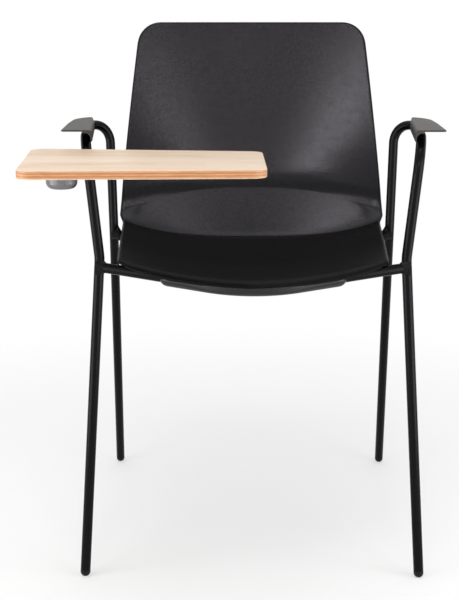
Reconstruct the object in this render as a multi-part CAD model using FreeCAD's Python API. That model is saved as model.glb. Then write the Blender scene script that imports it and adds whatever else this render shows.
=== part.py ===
import FreeCAD, Part
import math
import os

# Stacking conference armchair with a writing tablet on the sitter's right arm
# Lengths are in millimetres and +Z is up
# The sitter faces -Y, and the sitter's right arm is on the -X side

V = FreeCAD.Vector

# Frame tube
tube_diameter = 15.0
tube_wall = 1.5

# Places of the side frame's centre line: half width, depth from the front feet, height
front_foot_half = 253.0
front_knee_half = 224.6
front_knee_y = 44.5
front_knee_height = 482.0
arm_front_half = 241.0
arm_front_y = 40.0
arm_bow_half = 264.0
arm_bow_y = 269.0
arm_rear_half = 233.0
arm_rear_y = 298.0
arm_rise = 175.0
rear_knee_half = 227.2
rear_knee_y = 275.0
rear_knee_drop = 1.0
rear_foot_half = 247.5
rear_foot_y = 494.0

# Bend radii of the side frame, on the centre line
knee_bend_radius = 60.0
arm_front_bend_radius = 48.0
arm_bow_bend_radius = 27.0
arm_rear_bend_radius = 28.5

# Crossbars
front_rail_below_knee = 12.5
front_rail_bow = 97.5
front_rail_drop = 14.9
front_rail_bend_radius = 162.0
rear_rail_low_half = 140.0
rear_rail_drop = 51.0
rear_rail_bend_radius = 40.0
weld_leg = 3.0
weld_fit_gap = 0.1

# Foot glides
glide_cap_length = 3.0
glide_flat_depth = 0.6
glide_stem_length = 16.0
glide_stem_clearance = 0.1

# Seat and back shell, measured on the sitting side
shell_thickness = 4.5
seat_front_setback = 2.15
seat_above_rail = 2.0
seat_roll_drop = 12.0
seat_dish = 18.0
seat_rear_rise = 11.5
seat_past_rear_knee = 70.0
seat_corner_before_knee = 22.5
seat_corner_rise = 12.0
seat_corner_inset = 28.1
seat_rear_inset = 9.7
seat_edge_past_rear_knee = 60.0
seat_edge_rear_rise = 12.3
seat_corner_radius = 24.0
facet_depth = 55.0
facet_height = 76.0
facet_edge_depth = 13.0
facet_edge_height = 7.5
back_bottom_inset = 2.7
back_taper = 32.0
back_lean = 55.0
back_edge_lean = 99.0
back_height = 348.5
back_corner_radius = 40.0
front_lip_half = 133.0
front_lip_wall = 4.2
front_lip_clearance = 0.3
lip_depth = 60.0

# Rear fixings of the shell
tab_half_spacing = 95.0
tab_width = 30.0
tab_length = 48.0
tab_thickness = 3.0
tab_seat = 1.0
tab_hole_offset = 15.5
boss_diameter = 13.0
boss_sink = 2.0
insert_diameter = 7.0
insert_length = 8.0
insert_clearance = 0.05
shell_screw_diameter = 5.0
shell_screw_head_diameter = 9.0
shell_screw_head_height = 2.8
shell_screw_clearance = 0.25

# Arm pads
pad_front_overhang = 2.0
pad_rear_setback = 11.0
pad_top_above_arm = 12.5
pad_inner_offset = 10.5
pad_block_reach = 3.0
pad_outer_front = 34.2
pad_outer_middle = 27.9
pad_outer_rear = 20.6
pad_end_run = 50.0
pad_end_inset = 3.9
pad_outer_end_run = 39.0
pad_crown = 0.8
pad_inner_round = 4.0
pad_wing_thickness = 2.2
pad_wing_droop = 0.2
pad_skirt_depth = 4.0
pad_clearance = 0.3
pad_channel_gap = 0.7
pad_corner_radius = 6.0
pad_inner_bend_radius = 20.0
pad_outer_bend_radius = 92.0
pad_screw_diameter = 4.0
pad_screw_head_diameter = 7.0
pad_screw_head_height = 2.4
pad_screw_bite = 2.5
pad_screw_clearance = 0.15

# Writing tablet, measured from the hub's axis
tablet_below_arm = 12.0
tablet_thickness = 11.0
tablet_corner_radius = 20.0
tablet_outer_front = 29.0
tablet_outer_rear = 53.5
tablet_inner_front = 276.0
tablet_inner_rear = 273.0
tablet_front_outer = 185.0
tablet_front_inner = 168.0
tablet_rear_outer = 81.5
tablet_rear_inner = 46.0

# Hub, its lift bar and its swivel
hub_outboard = 24.0
hub_forward = 100.0
hub_diameter = 46.0
hub_height = 29.0
hub_draft = 2.5
hub_round = 9.0
hub_below_tablet = 6.0
bar_diameter = 14.0
bar_below_tablet = 17.0
bar_nose = 8.0
bar_bore_run_out = 1.0
neck_diameter = 21.6
neck_reach = 60.0
bush_wall = 1.5
bush_length = 12.0
running_clearance = 0.05
press_clearance = 0.02
stop_pin_diameter = 4.0
stop_pin_depth = 5.0
stop_pin_standout = 3.5
stop_slot_clearance = 0.3
stop_slot_play_angle = 4.0
lift_angle = 90.0
spindle_diameter = 8.0
spindle_head_diameter = 16.0
spindle_head_height = 2.0
spindle_depth = 13.0
friction_disc_thickness = 1.2
friction_disc_diameter = 40.0
spring_washer_thickness = 1.3
spring_washer_diameter = 15.0
counterbore_clearance = 0.5
tablet_plate_outer = 24.0
tablet_plate_inner = 72.0
tablet_plate_width = 62.0
tablet_plate_corner = 10.0
tablet_screw_outer = 17.0
tablet_screw_inner = 64.0
tablet_screw_half_spacing = 23.5
tablet_screw_diameter = 4.0
tablet_screw_head_diameter = 8.0
tablet_screw_head_height = 2.2
tablet_screw_length = 10.0

# Clamp on the front upright
clamp_height = 22.0
clamp_wall = 4.5
clamp_split_gap = 1.0
clamp_half_length = 18.0
clamp_seat_clearance = 0.02
clamp_edge_round = 2.0
clamp_screw_offset = 11.5
clamp_screw_diameter = 5.0
clamp_screw_head_diameter = 8.5
clamp_screw_head_height = 3.0
clamp_screw_length = 25.0
clamp_screw_clearance = 0.15
set_screw_diameter = 5.0
set_screw_setback = 0.4

# One length by which every cutting tool runs past what it cuts
overrun = 2.0

# Shares: pure numbers that shape a curve between its named sizes
seat_run_shares = (0.0, 0.012, 0.045, 0.1, 0.22, 0.38, 0.55, 0.71, 0.84, 0.94, 1.0)
seat_dish_shares = (0.0, 0.0, 0.0, 0.03, 0.26, 0.66, 0.94, 1.0, 0.88, 0.56, 0.32)
seat_roll_shares = (1.0, 0.44, 0.04, 0.0, 0.0, 0.0, 0.0, 0.0, 0.0, 0.0, 0.0)
back_run_shares = (0.0, 0.06, 0.16, 0.3, 0.46, 0.64, 0.82, 1.0)
across_shares = (0.0, 0.22, 0.42, 0.6, 0.74, 0.85, 0.93, 1.0)
seat_bow_power_share = 1.45
seat_edge_power_share = 3.6
seat_side_power_share = 2.4
seat_crease_power_share = 4.2
roll_fade_power_share = 8.0
roll_fade_share = 0.7
row_step_share = 1 / 64
back_side_power_share = 2.5
back_width_power_share = 1.3
back_edge_power_share = 0.6
back_centre_power_share = 0.8
pad_screw_shares = (0.28, 0.72)
pad_middle_share = 0.52

# Sizes worked out from the driving ones
tube_radius = tube_diameter / 2
tube_bore_radius = tube_radius - tube_wall
pad_channel_radius = tube_radius + pad_channel_gap
pad_bend_radius = tube_radius + pad_clearance
arm_height = front_knee_height + arm_rise
rear_knee_height = front_knee_height - rear_knee_drop
front_rail_height = front_knee_height - front_rail_below_knee
front_rail_y = front_knee_y * front_rail_height / front_knee_height
seat_crest_height = front_rail_height + seat_above_rail
seat_front_y = front_rail_y - front_rail_bow + seat_front_setback
seat_corner_y = front_knee_y - seat_corner_before_knee
seat_rear_y = rear_knee_y + seat_past_rear_knee
seat_edge_rear_y = rear_knee_y + seat_edge_past_rear_knee
seat_corner_half = front_knee_half - seat_corner_inset
seat_rear_half = rear_knee_half - seat_rear_inset
back_bottom_half = rear_knee_half - back_bottom_inset
back_top_half = back_bottom_half - back_taper
shell_top_height = seat_crest_height + back_height
pad_front_y = arm_front_y - pad_front_overhang
pad_rear_y = arm_rear_y - pad_rear_setback
pad_inner_end_y = pad_rear_y - pad_end_run
pad_outer_end_y = pad_rear_y - pad_outer_end_run
seat_rear_height = seat_crest_height - seat_dish + seat_rear_rise
seat_edge_front_height = seat_crest_height + seat_corner_rise
seat_edge_rear_height = seat_edge_front_height + seat_edge_rear_rise
facet_top_y = seat_rear_y + facet_depth
facet_top_height = seat_rear_height + facet_height
facet_edge_y = seat_edge_rear_y + facet_edge_depth
facet_edge_top_height = seat_edge_rear_height + facet_edge_height


def unit(vector):
    """The same direction with length one."""
    copy = V(vector)
    copy.normalize()
    return copy


def rounded_path(points, radii):
    """Straight runs through the points, joined by tangent arcs of the given radii."""
    edges = []
    start = points[0]
    for before, corner, after, radius in zip(points, points[1:], points[2:], radii):
        back = unit(before - corner)
        ahead = unit(after - corner)
        half_angle = back.getAngle(ahead) / 2
        reach = radius / math.tan(half_angle)
        arc_start = corner + back * reach
        arc_end = corner + ahead * reach
        bisector = unit(back + ahead)
        middle = corner + bisector * (radius / math.sin(half_angle) - radius)
        edges.append(Part.LineSegment(start, arc_start).toShape())
        edges.append(Part.Arc(arc_start, middle, arc_end).toShape())
        start = arc_end
    edges.append(Part.LineSegment(start, points[-1]).toShape())
    return Part.Wire(edges)


def rod(path, radius):
    """A solid round bar of this radius along a path."""
    first = path.OrderedEdges[0]
    start = first.valueAt(first.FirstParameter)
    tangent = first.tangentAt(first.FirstParameter)
    circle = Part.Wire([Part.makeCircle(radius, start, tangent)])
    return path.makePipeShell([circle], True, False)


def straight_rod(start, end, radius):
    """A cylinder from one point to another."""
    run = end - start
    return Part.makeCylinder(radius, run.Length, start, run)


def mirrored(shape):
    """The same shape on the other side of the chair."""
    return shape.mirror(V(0, 0, 0), V(1, 0, 0))


def upright_cylinder(radius, centre_x, centre_y, bottom, top):
    """A cylinder about a vertical axis, between two heights."""
    return Part.makeCylinder(radius, top - bottom, V(centre_x, centre_y, bottom))


def ring(outer_radius, inner_radius, centre_x, centre_y, bottom, top):
    """A washer or bush about a vertical axis."""
    outer = upright_cylinder(outer_radius, centre_x, centre_y, bottom, top)
    hole = upright_cylinder(inner_radius, centre_x, centre_y, bottom - overrun, top + overrun)
    return outer.cut(hole)


def rounded_prism(corners, radii, bottom, top):
    """An upright prism whose plan is a polygon with a radius at each corner."""
    count = len(corners)
    edges = []
    ends = []
    for index, corner in enumerate(corners):
        back = unit(corners[index - 1] - corner)
        ahead = unit(corners[(index + 1) % count] - corner)
        half_angle = back.getAngle(ahead) / 2
        radius = radii[index]
        reach = radius / math.tan(half_angle)
        middle = corner + unit(back + ahead) * (radius / math.sin(half_angle) - radius)
        ends.append((corner + back * reach, middle, corner + ahead * reach))
    for index, (arc_start, middle, arc_end) in enumerate(ends):
        edges.append(Part.Arc(arc_start, middle, arc_end).toShape())
        edges.append(Part.LineSegment(arc_end, ends[(index + 1) % count][0]).toShape())
    face = Part.Face(Part.Wire(edges))
    face.translate(V(0, 0, bottom))
    return face.extrude(V(0, 0, top - bottom))


# Side frame

front_foot = V(front_foot_half, 0, 0)
front_knee = V(front_knee_half, front_knee_y, front_knee_height)
arm_front = V(arm_front_half, arm_front_y, arm_height)
arm_bow = V(arm_bow_half, arm_bow_y, arm_height)
arm_rear = V(arm_rear_half, arm_rear_y, arm_height)
rear_knee = V(rear_knee_half, rear_knee_y, rear_knee_height)
rear_foot = V(rear_foot_half, rear_foot_y, 0)
side_radii = [knee_bend_radius, arm_front_bend_radius, arm_bow_bend_radius, arm_rear_bend_radius]
side_radii.append(knee_bend_radius)


def point_at_height(low, high, height):
    """The point of a straight run at one height."""
    share = (height - low.z) / (high.z - low.z)
    return low + (high - low) * share


def glide_centre(foot, knee):
    """The centre of a glide's round end, which stands on a small flat."""
    return point_at_height(foot, knee, tube_radius - glide_flat_depth)


def tube_end(foot, knee):
    """Where a leg's tube stops and its glide's cap begins."""
    centre = glide_centre(foot, knee)
    return centre + unit(knee - foot) * glide_cap_length


def side_path():
    """Centre line of the right side frame, from the front foot over the arm to the rear foot."""
    points = [tube_end(front_foot, front_knee), front_knee, arm_front, arm_bow, arm_rear, rear_knee]
    points.append(tube_end(rear_foot, rear_knee))
    return rounded_path(points, side_radii)


side_line = side_path()
side_solid = rod(side_line, tube_radius)
side_bore = rod(side_line, tube_bore_radius)
side_frame_right = side_solid.cut(side_bore)
side_frame_left = mirrored(side_frame_right)


def glide(foot, knee):
    """A plastic glide: round end with a flat, a cap of the tube's diameter, a stem in the bore."""
    centre = glide_centre(foot, knee)
    shoulder = tube_end(foot, knee)
    up = unit(knee - foot)
    stem_radius = tube_bore_radius - glide_stem_clearance
    body = Part.makeSphere(tube_radius, centre)
    body = body.cut(straight_rod(shoulder, shoulder + up * tube_diameter, tube_diameter))
    body = body.fuse(straight_rod(centre, shoulder, tube_radius))
    body = body.fuse(straight_rod(centre, shoulder + up * glide_stem_length, stem_radius))
    ground = Part.makeBox(tube_diameter * 2, tube_diameter * 2, tube_diameter * 2)
    ground.translate(V(foot.x - tube_diameter, foot.y - tube_diameter, -tube_diameter * 2))
    return body.cut(ground).removeSplitter()


# Crossbars

front_rail_end = point_at_height(front_foot, front_knee, front_rail_height)
front_rail_point = V(0, front_rail_end.y - front_rail_bow, front_rail_height - front_rail_drop)
front_rail_other_end = V(-front_rail_end.x, front_rail_end.y, front_rail_end.z)
front_rail_points = [front_rail_other_end, front_rail_point, front_rail_end]
front_rail_line = rounded_path(front_rail_points, [front_rail_bend_radius])
front_rail_solid = rod(front_rail_line, tube_radius)

rear_rail_low_height = rear_knee_height - rear_rail_drop
rear_rail_points = [
    V(-rear_knee_half, rear_knee_y, rear_knee_height),
    V(-rear_rail_low_half, rear_knee_y, rear_rail_low_height),
    V(rear_rail_low_half, rear_knee_y, rear_rail_low_height),
    V(rear_knee_half, rear_knee_y, rear_knee_height),
]
rear_rail_line = rounded_path(rear_rail_points, [rear_rail_bend_radius, rear_rail_bend_radius])
rear_rail_solid = rod(rear_rail_line, tube_radius)
weld_fit_radius = tube_radius + weld_fit_gap
weld_fit_rod = rod(side_line, weld_fit_radius)


def crossbar(solid, line):
    """A crossbar tube, coped at both ends to fit round the side frames."""
    tube = solid.cut(rod(line, tube_bore_radius))
    pieces = tube.cut(weld_fit_rod).cut(mirrored(weld_fit_rod)).Solids
    return max(pieces, key=lambda piece: piece.Volume)


front_crossbar = crossbar(front_rail_solid, front_rail_line)
rear_crossbar = crossbar(rear_rail_solid, rear_rail_line)


def weld(end, towards, bar_line):
    """A fillet weld round a crossbar where it meets a leg."""
    direction = unit(towards - end)
    toe = end + direction * (tube_radius + weld_leg)
    collar = Part.makeCone(tube_radius + weld_leg * 2, tube_radius, tube_radius + weld_leg, end, toe - end)
    bead = collar.cut(rod(bar_line, weld_fit_radius)).cut(weld_fit_rod)
    return max(bead.Solids, key=lambda piece: piece.Volume)


front_weld = weld(front_rail_end, front_rail_point, front_rail_line)
rear_weld = weld(rear_rail_points[3], rear_rail_points[2], rear_rail_line)
weld_beads = Part.makeCompound([front_weld, mirrored(front_weld), rear_weld, mirrored(rear_weld)])


# Seat and back shell


def mix(low, high, share):
    """A value between two others."""
    return low + (high - low) * share


def front_roll(across):
    """How far the front edge drops below the seat at a place across it."""
    drop = seat_roll_drop * (1 - roll_fade_share * across ** roll_fade_power_share)
    early_rise = across ** seat_side_power_share - across ** seat_edge_power_share
    return drop + seat_corner_rise * early_rise


def seat_point(across, run, dish, roll):
    """A point of the seat's upper side; across runs from 0 in the middle to 1 at the side edge."""
    centre_y = mix(seat_front_y, seat_rear_y, run)
    edge_y = mix(seat_corner_y, seat_edge_rear_y, run)
    centre_z = seat_crest_height - seat_dish * dish
    edge_z = mix(seat_edge_front_height, seat_edge_rear_height, run)
    power = mix(seat_side_power_share, seat_crease_power_share, run)
    y = mix(centre_y, edge_y, across ** seat_bow_power_share)
    z = mix(centre_z, edge_z, across ** power) - front_roll(across) * roll
    return V(across * mix(seat_corner_half, seat_rear_half, run), y, z)


def back_point(across, run):
    """A point of the back's front side; run goes from 0 at the facet to 1 at the top edge."""
    centre_y = facet_top_y + back_lean * run ** back_centre_power_share
    edge_y = facet_edge_y + back_edge_lean * run ** back_edge_power_share
    centre_z = mix(facet_top_height, shell_top_height, run)
    edge_z = mix(facet_edge_top_height, shell_top_height, run)
    half = mix(back_bottom_half, back_top_half, run ** back_width_power_share)
    share = across ** back_side_power_share
    return V(across * half, mix(centre_y, edge_y, share), mix(centre_z, edge_z, share))


def seat_row(across):
    """Points of the seat from the front edge to the facet."""
    rows = zip(seat_run_shares, seat_dish_shares, seat_roll_shares)
    return [seat_point(across, run, dish, roll) for run, dish, roll in rows]


def back_row(across):
    """Points of the back from the facet to the top edge."""
    return [back_point(across, run) for run in back_run_shares]


def row_tangents(points):
    """Directions along a row of points, one-sided at its ends."""
    last = len(points) - 1
    return [unit(points[min(i + 1, last)] - points[max(i - 1, 0)]) for i in range(last + 1)]


def signed(point, side):
    """The point, or its mirror image when side is negative."""
    return V(point.x * side, point.y, point.z)


def row_normals(row, across):
    """Directions out of the sitting side along one row of the shell."""
    step = row_step_share
    low = max(across - step, 0)
    high = min(across + step, 1)
    inner = row(low) if low > 0 or across == 0 else row(0)
    outer = row(high)
    if across == 0:
        inner = [signed(point, -1) for point in outer]
    tangents = row_tangents(row(across))
    return [unit((b - a).cross(t)) for a, b, t in zip(inner, outer, tangents)]


def shell_rows(across):
    """Upper and lower points of seat, facet and back at a place across the shell."""
    seat = seat_row(across)
    back = back_row(across)
    seat_normals = row_normals(seat_row, across)
    back_normals = row_normals(back_row, across)
    facet_run = unit(back[0] - seat[-1])
    facet_normal = unit(V(1, 0, 0).cross(facet_run))
    low_crease = unit(seat_normals[-1] + facet_normal)
    high_crease = unit(back_normals[0] + facet_normal)
    seat_normals[-1] = low_crease * (1 / low_crease.dot(facet_normal))
    back_normals[0] = high_crease * (1 / high_crease.dot(facet_normal))
    seat_under = [p - n * shell_thickness for p, n in zip(seat, seat_normals)]
    back_under = [p - n * shell_thickness for p, n in zip(back, back_normals)]
    return seat, back, seat_under, back_under


def spline(points):
    """A smooth edge through points."""
    curve = Part.BSplineCurve()
    curve.interpolate(points)
    return curve.toShape()


def line(start, end):
    """A straight edge between two points."""
    return Part.LineSegment(start, end).toShape()


def shell_section(across, side):
    """The eight edges of one closed section: seat, facet, back, top rim, then back along the underside."""
    parts = shell_rows(across)
    seat, back, seat_under, back_under = [[signed(p, side) for p in row] for row in parts]
    return [
        spline(seat),
        line(seat[-1], back[0]),
        spline(back),
        line(back[-1], back_under[-1]),
        spline(back_under[::-1]),
        line(back_under[0], seat_under[-1]),
        spline(seat_under[::-1]),
        line(seat_under[0], seat[0]),
    ]


def side_rim(section):
    """The three ruled faces that close the shell along one side edge."""
    seat, facet, back, _, back_under, facet_under, seat_under, _ = section
    pairs = ((seat, seat_under), (facet, facet_under), (back, back_under))
    faces = []
    for upper, under in pairs:
        flipped = under.copy()
        flipped.reverse()
        faces.append(Part.makeRuledSurface(upper, flipped))
    return faces


def all_sections():
    """The shell's sections from the left side edge to the right one."""
    left = [shell_section(across, -1) for across in across_shares[:0:-1]]
    right = [shell_section(across, 1) for across in across_shares]
    return left + right


def blank_shell(sections):
    """The shell before its corners are rounded and its fixings added."""
    skin = Part.makeLoft([Part.Wire(edges) for edges in sections], False, False)
    faces = list(skin.Faces) + side_rim(sections[0]) + side_rim(sections[-1])
    shell = Part.makeShell(faces)
    shell.sewShape()
    return Part.makeSolid(Part.Shell(shell.Faces))


def under_seat(sections):
    """The room under the seat, down from the middle of the shell's wall."""
    skin = Part.makeLoft([Part.Wire(edges[:1]) for edges in sections], False, False)
    room = skin.Faces[0].extrude(V(0, 0, -lip_depth))
    room.translate(V(0, 0, -shell_thickness / 2))
    return room


def corner_cutter(corner, one_way, other_way, radius, depth_direction, depth):
    """A cutter that leaves a corner of a panel with a radius; it runs along depth_direction."""
    half_angle = one_way.getAngle(other_way) / 2
    reach = radius / math.tan(half_angle)
    bisector = unit(one_way + other_way)
    first = corner + one_way * reach
    last = corner + other_way * reach
    middle = corner + bisector * (radius / math.sin(half_angle) - radius)
    spread = unit(first - last) * overrun
    outside = bisector * -reach
    edges = [
        Part.Arc(first, middle, last).toShape(),
        line(last, last - spread + outside),
        line(last - spread + outside, first + spread + outside),
        line(first + spread + outside, first),
    ]
    face = Part.Face(Part.Wire(edges))
    face.translate(depth_direction * (-depth / 2))
    return face.extrude(depth_direction * depth)


def seat_corner_cutter():
    """Rounds the front right corner of the seat, seen from above."""
    step = seat_run_shares[3]
    corner = seat_point(1, 0, 0, 1)
    along_front = seat_point(1 - step, 0, 0, 1) - corner
    along_side = seat_point(1, step, 0, 0) - corner
    flat = V(corner.x, corner.y, corner.z)
    one_way = unit(V(along_front.x, along_front.y, 0))
    other_way = unit(V(along_side.x, along_side.y, 0))
    return corner_cutter(flat, one_way, other_way, seat_corner_radius, V(0, 0, 1), seat_corner_radius * 2)


def back_corner_cutter():
    """Rounds the top right corner of the back, seen from the front."""
    corner = back_point(1, 1)
    along_side = back_point(1, back_run_shares[-2]) - corner
    flat = V(corner.x, corner.y, corner.z)
    other_way = unit(V(along_side.x, 0, along_side.z))
    depth = back_corner_radius * 2
    return corner_cutter(flat, V(-1, 0, 0), other_way, back_corner_radius, V(0, 1, 0), depth)


def front_lip(room):
    """The moulded lip that wraps the front crossbar, up to the middle of the shell's wall."""
    lip_radius = tube_radius + front_lip_clearance + front_lip_wall
    share = (front_lip_half - lip_radius) / front_rail_end.x
    end = front_rail_point + (front_rail_end - front_rail_point) * share
    path = rounded_path([signed(end, -1), front_rail_point, end], [front_rail_bend_radius])
    end_ball = Part.makeSphere(lip_radius, end)
    return [piece.common(room) for piece in (rod(path, lip_radius), end_ball, mirrored(end_ball))]


def boss_places():
    """Where the rear fixings stand, in plan."""
    places = []
    for side in (1, -1):
        for end in (1, -1):
            places.append((tab_half_spacing * side, rear_knee_y + tab_hole_offset * end))
    return places


tab_bottom = rear_rail_low_height + tube_radius - tab_seat
tab_top = tab_bottom + tab_thickness


def underside_height(blank, x, y):
    """The height of the seat's underside over a point of the floor plan."""
    probe = blank.common(line(V(x, y, tab_top), V(x, y, facet_top_height)))
    return probe.BoundBox.ZMin


def seat_shell_solid():
    """The finished moulding: panel, rounded corners, crossbar lip and rear bosses with their holes."""
    sections = all_sections()
    blank = blank_shell(sections)
    shell = blank
    for cutter in (seat_corner_cutter(), back_corner_cutter()):
        shell = shell.cut(cutter).cut(mirrored(cutter))
    for piece in front_lip(under_seat(sections)):
        shell = shell.fuse(piece)
    shell = shell.cut(rod(front_rail_line, tube_radius + front_lip_clearance))
    for x, y in boss_places():
        under = underside_height(blank, x, y)
        shell = shell.fuse(upright_cylinder(boss_diameter / 2, x, y, tab_top, under + boss_sink))
    for x, y in boss_places():
        hole_top = tab_top + insert_length
        hole_radius = insert_diameter / 2 + insert_clearance
        shell = shell.cut(upright_cylinder(hole_radius, x, y, tab_top - overrun, hole_top))
    return shell.Solids[0]


def mount_tabs():
    """The two plates welded on the rear crossbar, each with two screw holes."""
    plates = []
    for side in (1, -1):
        plate = Part.makeBox(tab_width, tab_length, tab_thickness)
        left = tab_half_spacing * side - tab_width / 2
        plate.translate(V(left, rear_knee_y - tab_length / 2, tab_bottom))
        plates.append(plate.cut(rear_rail_solid))
    tabs = Part.makeCompound(plates)
    hole_radius = shell_screw_diameter / 2 + shell_screw_clearance
    for x, y in boss_places():
        tabs = tabs.cut(upright_cylinder(hole_radius, x, y, tab_bottom - overrun, tab_top + overrun))
    return tabs


def inserts():
    """Brass inserts in the bosses, each bored to the screw."""
    bore = shell_screw_diameter / 2 + insert_clearance
    return Part.makeCompound(
        [ring(insert_diameter / 2, bore, x, y, tab_top, tab_top + insert_length) for x, y in boss_places()]
    )


def shell_screws():
    """Button-head screws from below, through the tabs into the inserts."""
    screws = []
    head_radius = shell_screw_head_diameter / 2
    for x, y in boss_places():
        head = upright_cylinder(head_radius, x, y, tab_bottom - shell_screw_head_height, tab_bottom)
        tip = tab_bottom + tab_thickness + insert_length - overrun / 2
        shank = upright_cylinder(shell_screw_diameter / 2, x, y, tab_bottom, tip)
        screws.append(head.fuse(shank).removeSplitter())
    return Part.makeCompound(screws)


# Arm pads


def arm_point(share):
    """A point of the arm tube's straight run, from the front vertex to the bow."""
    return arm_front + (arm_bow - arm_front) * share


arm_run = unit(arm_bow - arm_front)


def arm_half_at(y):
    """The arm's centre line, half width at a depth, on the straight run and its extension."""
    return arm_front.x + (y - arm_front.y) * arm_run.x / arm_run.y


def pad_plan():
    """The pad's outline from above, as an upright prism."""
    inner_front = V(arm_half_at(pad_front_y) - pad_inner_offset, pad_front_y, 0)
    inner_end = V(arm_half_at(pad_inner_end_y) - pad_inner_offset, pad_inner_end_y, 0)
    rear_inner = V(arm_half_at(pad_rear_y) - pad_inner_offset + pad_end_inset, pad_rear_y, 0)
    rear_outer = V(arm_half_at(pad_outer_end_y) + pad_outer_rear, pad_outer_end_y, 0)
    middle_y = mix(pad_front_y, pad_rear_y, pad_middle_share)
    middle_outer = V(arm_half_at(middle_y) + pad_outer_middle, middle_y, 0)
    front_outer = V(arm_half_at(pad_front_y) + pad_outer_front, pad_front_y, 0)
    corners = [inner_front, front_outer, middle_outer, rear_outer, rear_inner, inner_end]
    radii = [pad_inner_round, pad_corner_radius, (pad_rear_y - pad_front_y) * 4]
    radii += [pad_outer_bend_radius, pad_inner_round, pad_inner_bend_radius]
    return rounded_prism(corners, radii, arm_height - pad_top_above_arm, arm_height + pad_top_above_arm * 2)


def pad_profile():
    """The pad's cross-section: inner skirt, flat thin wing, and a channel open below for the tube."""
    top = arm_height + pad_top_above_arm
    inner = -pad_inner_offset
    outer = pad_outer_front + pad_inner_offset
    wing_top = top - pad_wing_droop
    wing_under = wing_top - pad_wing_thickness
    skirt = arm_height - pad_skirt_depth
    channel = pad_channel_radius
    slant = channel * math.sqrt(1 / 2)
    ridge = inner + pad_inner_round
    cut_back = pad_inner_round * (1 - math.sqrt(1 / 2))
    points = {
        "skirt_in": V(inner, 0, skirt),
        "shoulder": V(inner, 0, top - pad_inner_round),
        "round": V(inner + cut_back, 0, top - cut_back),
        "ridge": V(ridge, 0, top),
        "crown": V(mix(ridge, outer, 1 / 2), 0, mix(top, wing_top, 1 / 2) + pad_crown / 2),
        "tip": V(outer, 0, wing_top),
        "tip_under": V(outer, 0, wing_under),
        "wing_root": V(pad_block_reach, 0, wing_under),
        "block_end": V(pad_block_reach, 0, arm_height + channel),
        "channel_top": V(0, 0, arm_height + channel),
        "channel_round": V(-slant, 0, arm_height + slant),
        "channel_side": V(-channel, 0, arm_height),
        "skirt_out": V(-channel, 0, skirt),
    }
    p = points
    edges = [
        line(p["skirt_in"], p["shoulder"]),
        Part.Arc(p["shoulder"], p["round"], p["ridge"]).toShape(),
        Part.Arc(p["ridge"], p["crown"], p["tip"]).toShape(),
        line(p["tip"], p["tip_under"]),
        line(p["tip_under"], p["wing_root"]),
        line(p["wing_root"], p["block_end"]),
        line(p["block_end"], p["channel_top"]),
        Part.Arc(p["channel_top"], p["channel_round"], p["channel_side"]).toShape(),
        line(p["channel_side"], p["skirt_out"]),
        line(p["skirt_out"], p["skirt_in"]),
    ]
    return Part.Face(Part.Wire(edges))


def arm_pad():
    """The right arm pad, with room for the tube's bends cut into it."""
    start = V(arm_half_at(pad_front_y - pad_outer_front), pad_front_y - pad_outer_front, 0)
    face = pad_profile()
    face.translate(start)
    run = arm_run * (pad_rear_y - pad_front_y + pad_outer_front * 2)
    pad = face.extrude(run).common(pad_plan())
    pieces = pad.cut(rod(side_line, pad_bend_radius)).Solids
    return max(pieces, key=lambda piece: piece.Volume)


def pad_screw_bodies(clearance):
    """Screws up through the arm tube into the pad, or their holes when given a clearance."""
    screws = []
    for share in pad_screw_shares:
        place = arm_point(share)
        under = arm_height - tube_radius
        tip = arm_height + tube_radius + pad_screw_bite
        shank = upright_cylinder(pad_screw_diameter / 2 + clearance, place.x, place.y, under, tip)
        head_radius = pad_screw_head_diameter / 2 + clearance
        head = upright_cylinder(head_radius, place.x, place.y, under - pad_screw_head_height, under)
        screws.append(head.fuse(shank).removeSplitter())
    return Part.makeCompound(screws)


# Writing tablet and its mechanism, on the left front upright

tablet_top = arm_height - tablet_below_arm
tablet_bottom = tablet_top - tablet_thickness
bar_height = tablet_bottom - bar_below_tablet
hub_top = tablet_bottom - hub_below_tablet
hub_bottom = hub_top - hub_height
upright = point_at_height(front_knee, arm_front, bar_height)
upright_x = -upright.x
hub_x = upright_x - hub_outboard
hub_y = upright.y - hub_forward
disc_top = hub_top + friction_disc_thickness
clamp_left = hub_x - bar_diameter / 2 - clamp_wall
clamp_right = upright_x + tube_radius + clamp_wall
bar_rear_y = upright.y + clamp_half_length
bar_front_y = hub_y + bar_nose
bush_radius = bar_diameter / 2 + running_clearance + bush_wall
bush_bore_radius = bar_diameter / 2 + running_clearance
hub_bore_radius = bush_radius + press_clearance


def lengthwise(radius, start_y, end_y, x, z):
    """A cylinder along +Y."""
    return Part.makeCylinder(radius, end_y - start_y, V(x, start_y, z), V(0, 1, 0))


def crosswise(radius, start_x, end_x, y, z):
    """A cylinder along +X."""
    return Part.makeCylinder(radius, end_x - start_x, V(start_x, y, z), V(1, 0, 0))


def tablet_board():
    """The plywood tablet: a rounded, tapered outline, drilled for its screws."""
    corners = [
        V(hub_x - tablet_outer_front, hub_y - tablet_front_outer, 0),
        V(hub_x + tablet_inner_front, hub_y - tablet_front_inner, 0),
        V(hub_x + tablet_inner_rear, hub_y + tablet_rear_inner, 0),
        V(hub_x - tablet_outer_rear, hub_y + tablet_rear_outer, 0),
    ]
    board = rounded_prism(corners, [tablet_corner_radius] * len(corners), tablet_bottom, tablet_top)
    return board.cut(tablet_screw_bodies())


def tablet_screw_places():
    """The four screws of the tablet plate, in plan."""
    places = []
    for side in (1, -1):
        places.append((hub_x - tablet_screw_outer, hub_y + tablet_screw_half_spacing * side))
        places.append((hub_x + tablet_screw_inner, hub_y + tablet_screw_half_spacing * side))
    return places


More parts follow.
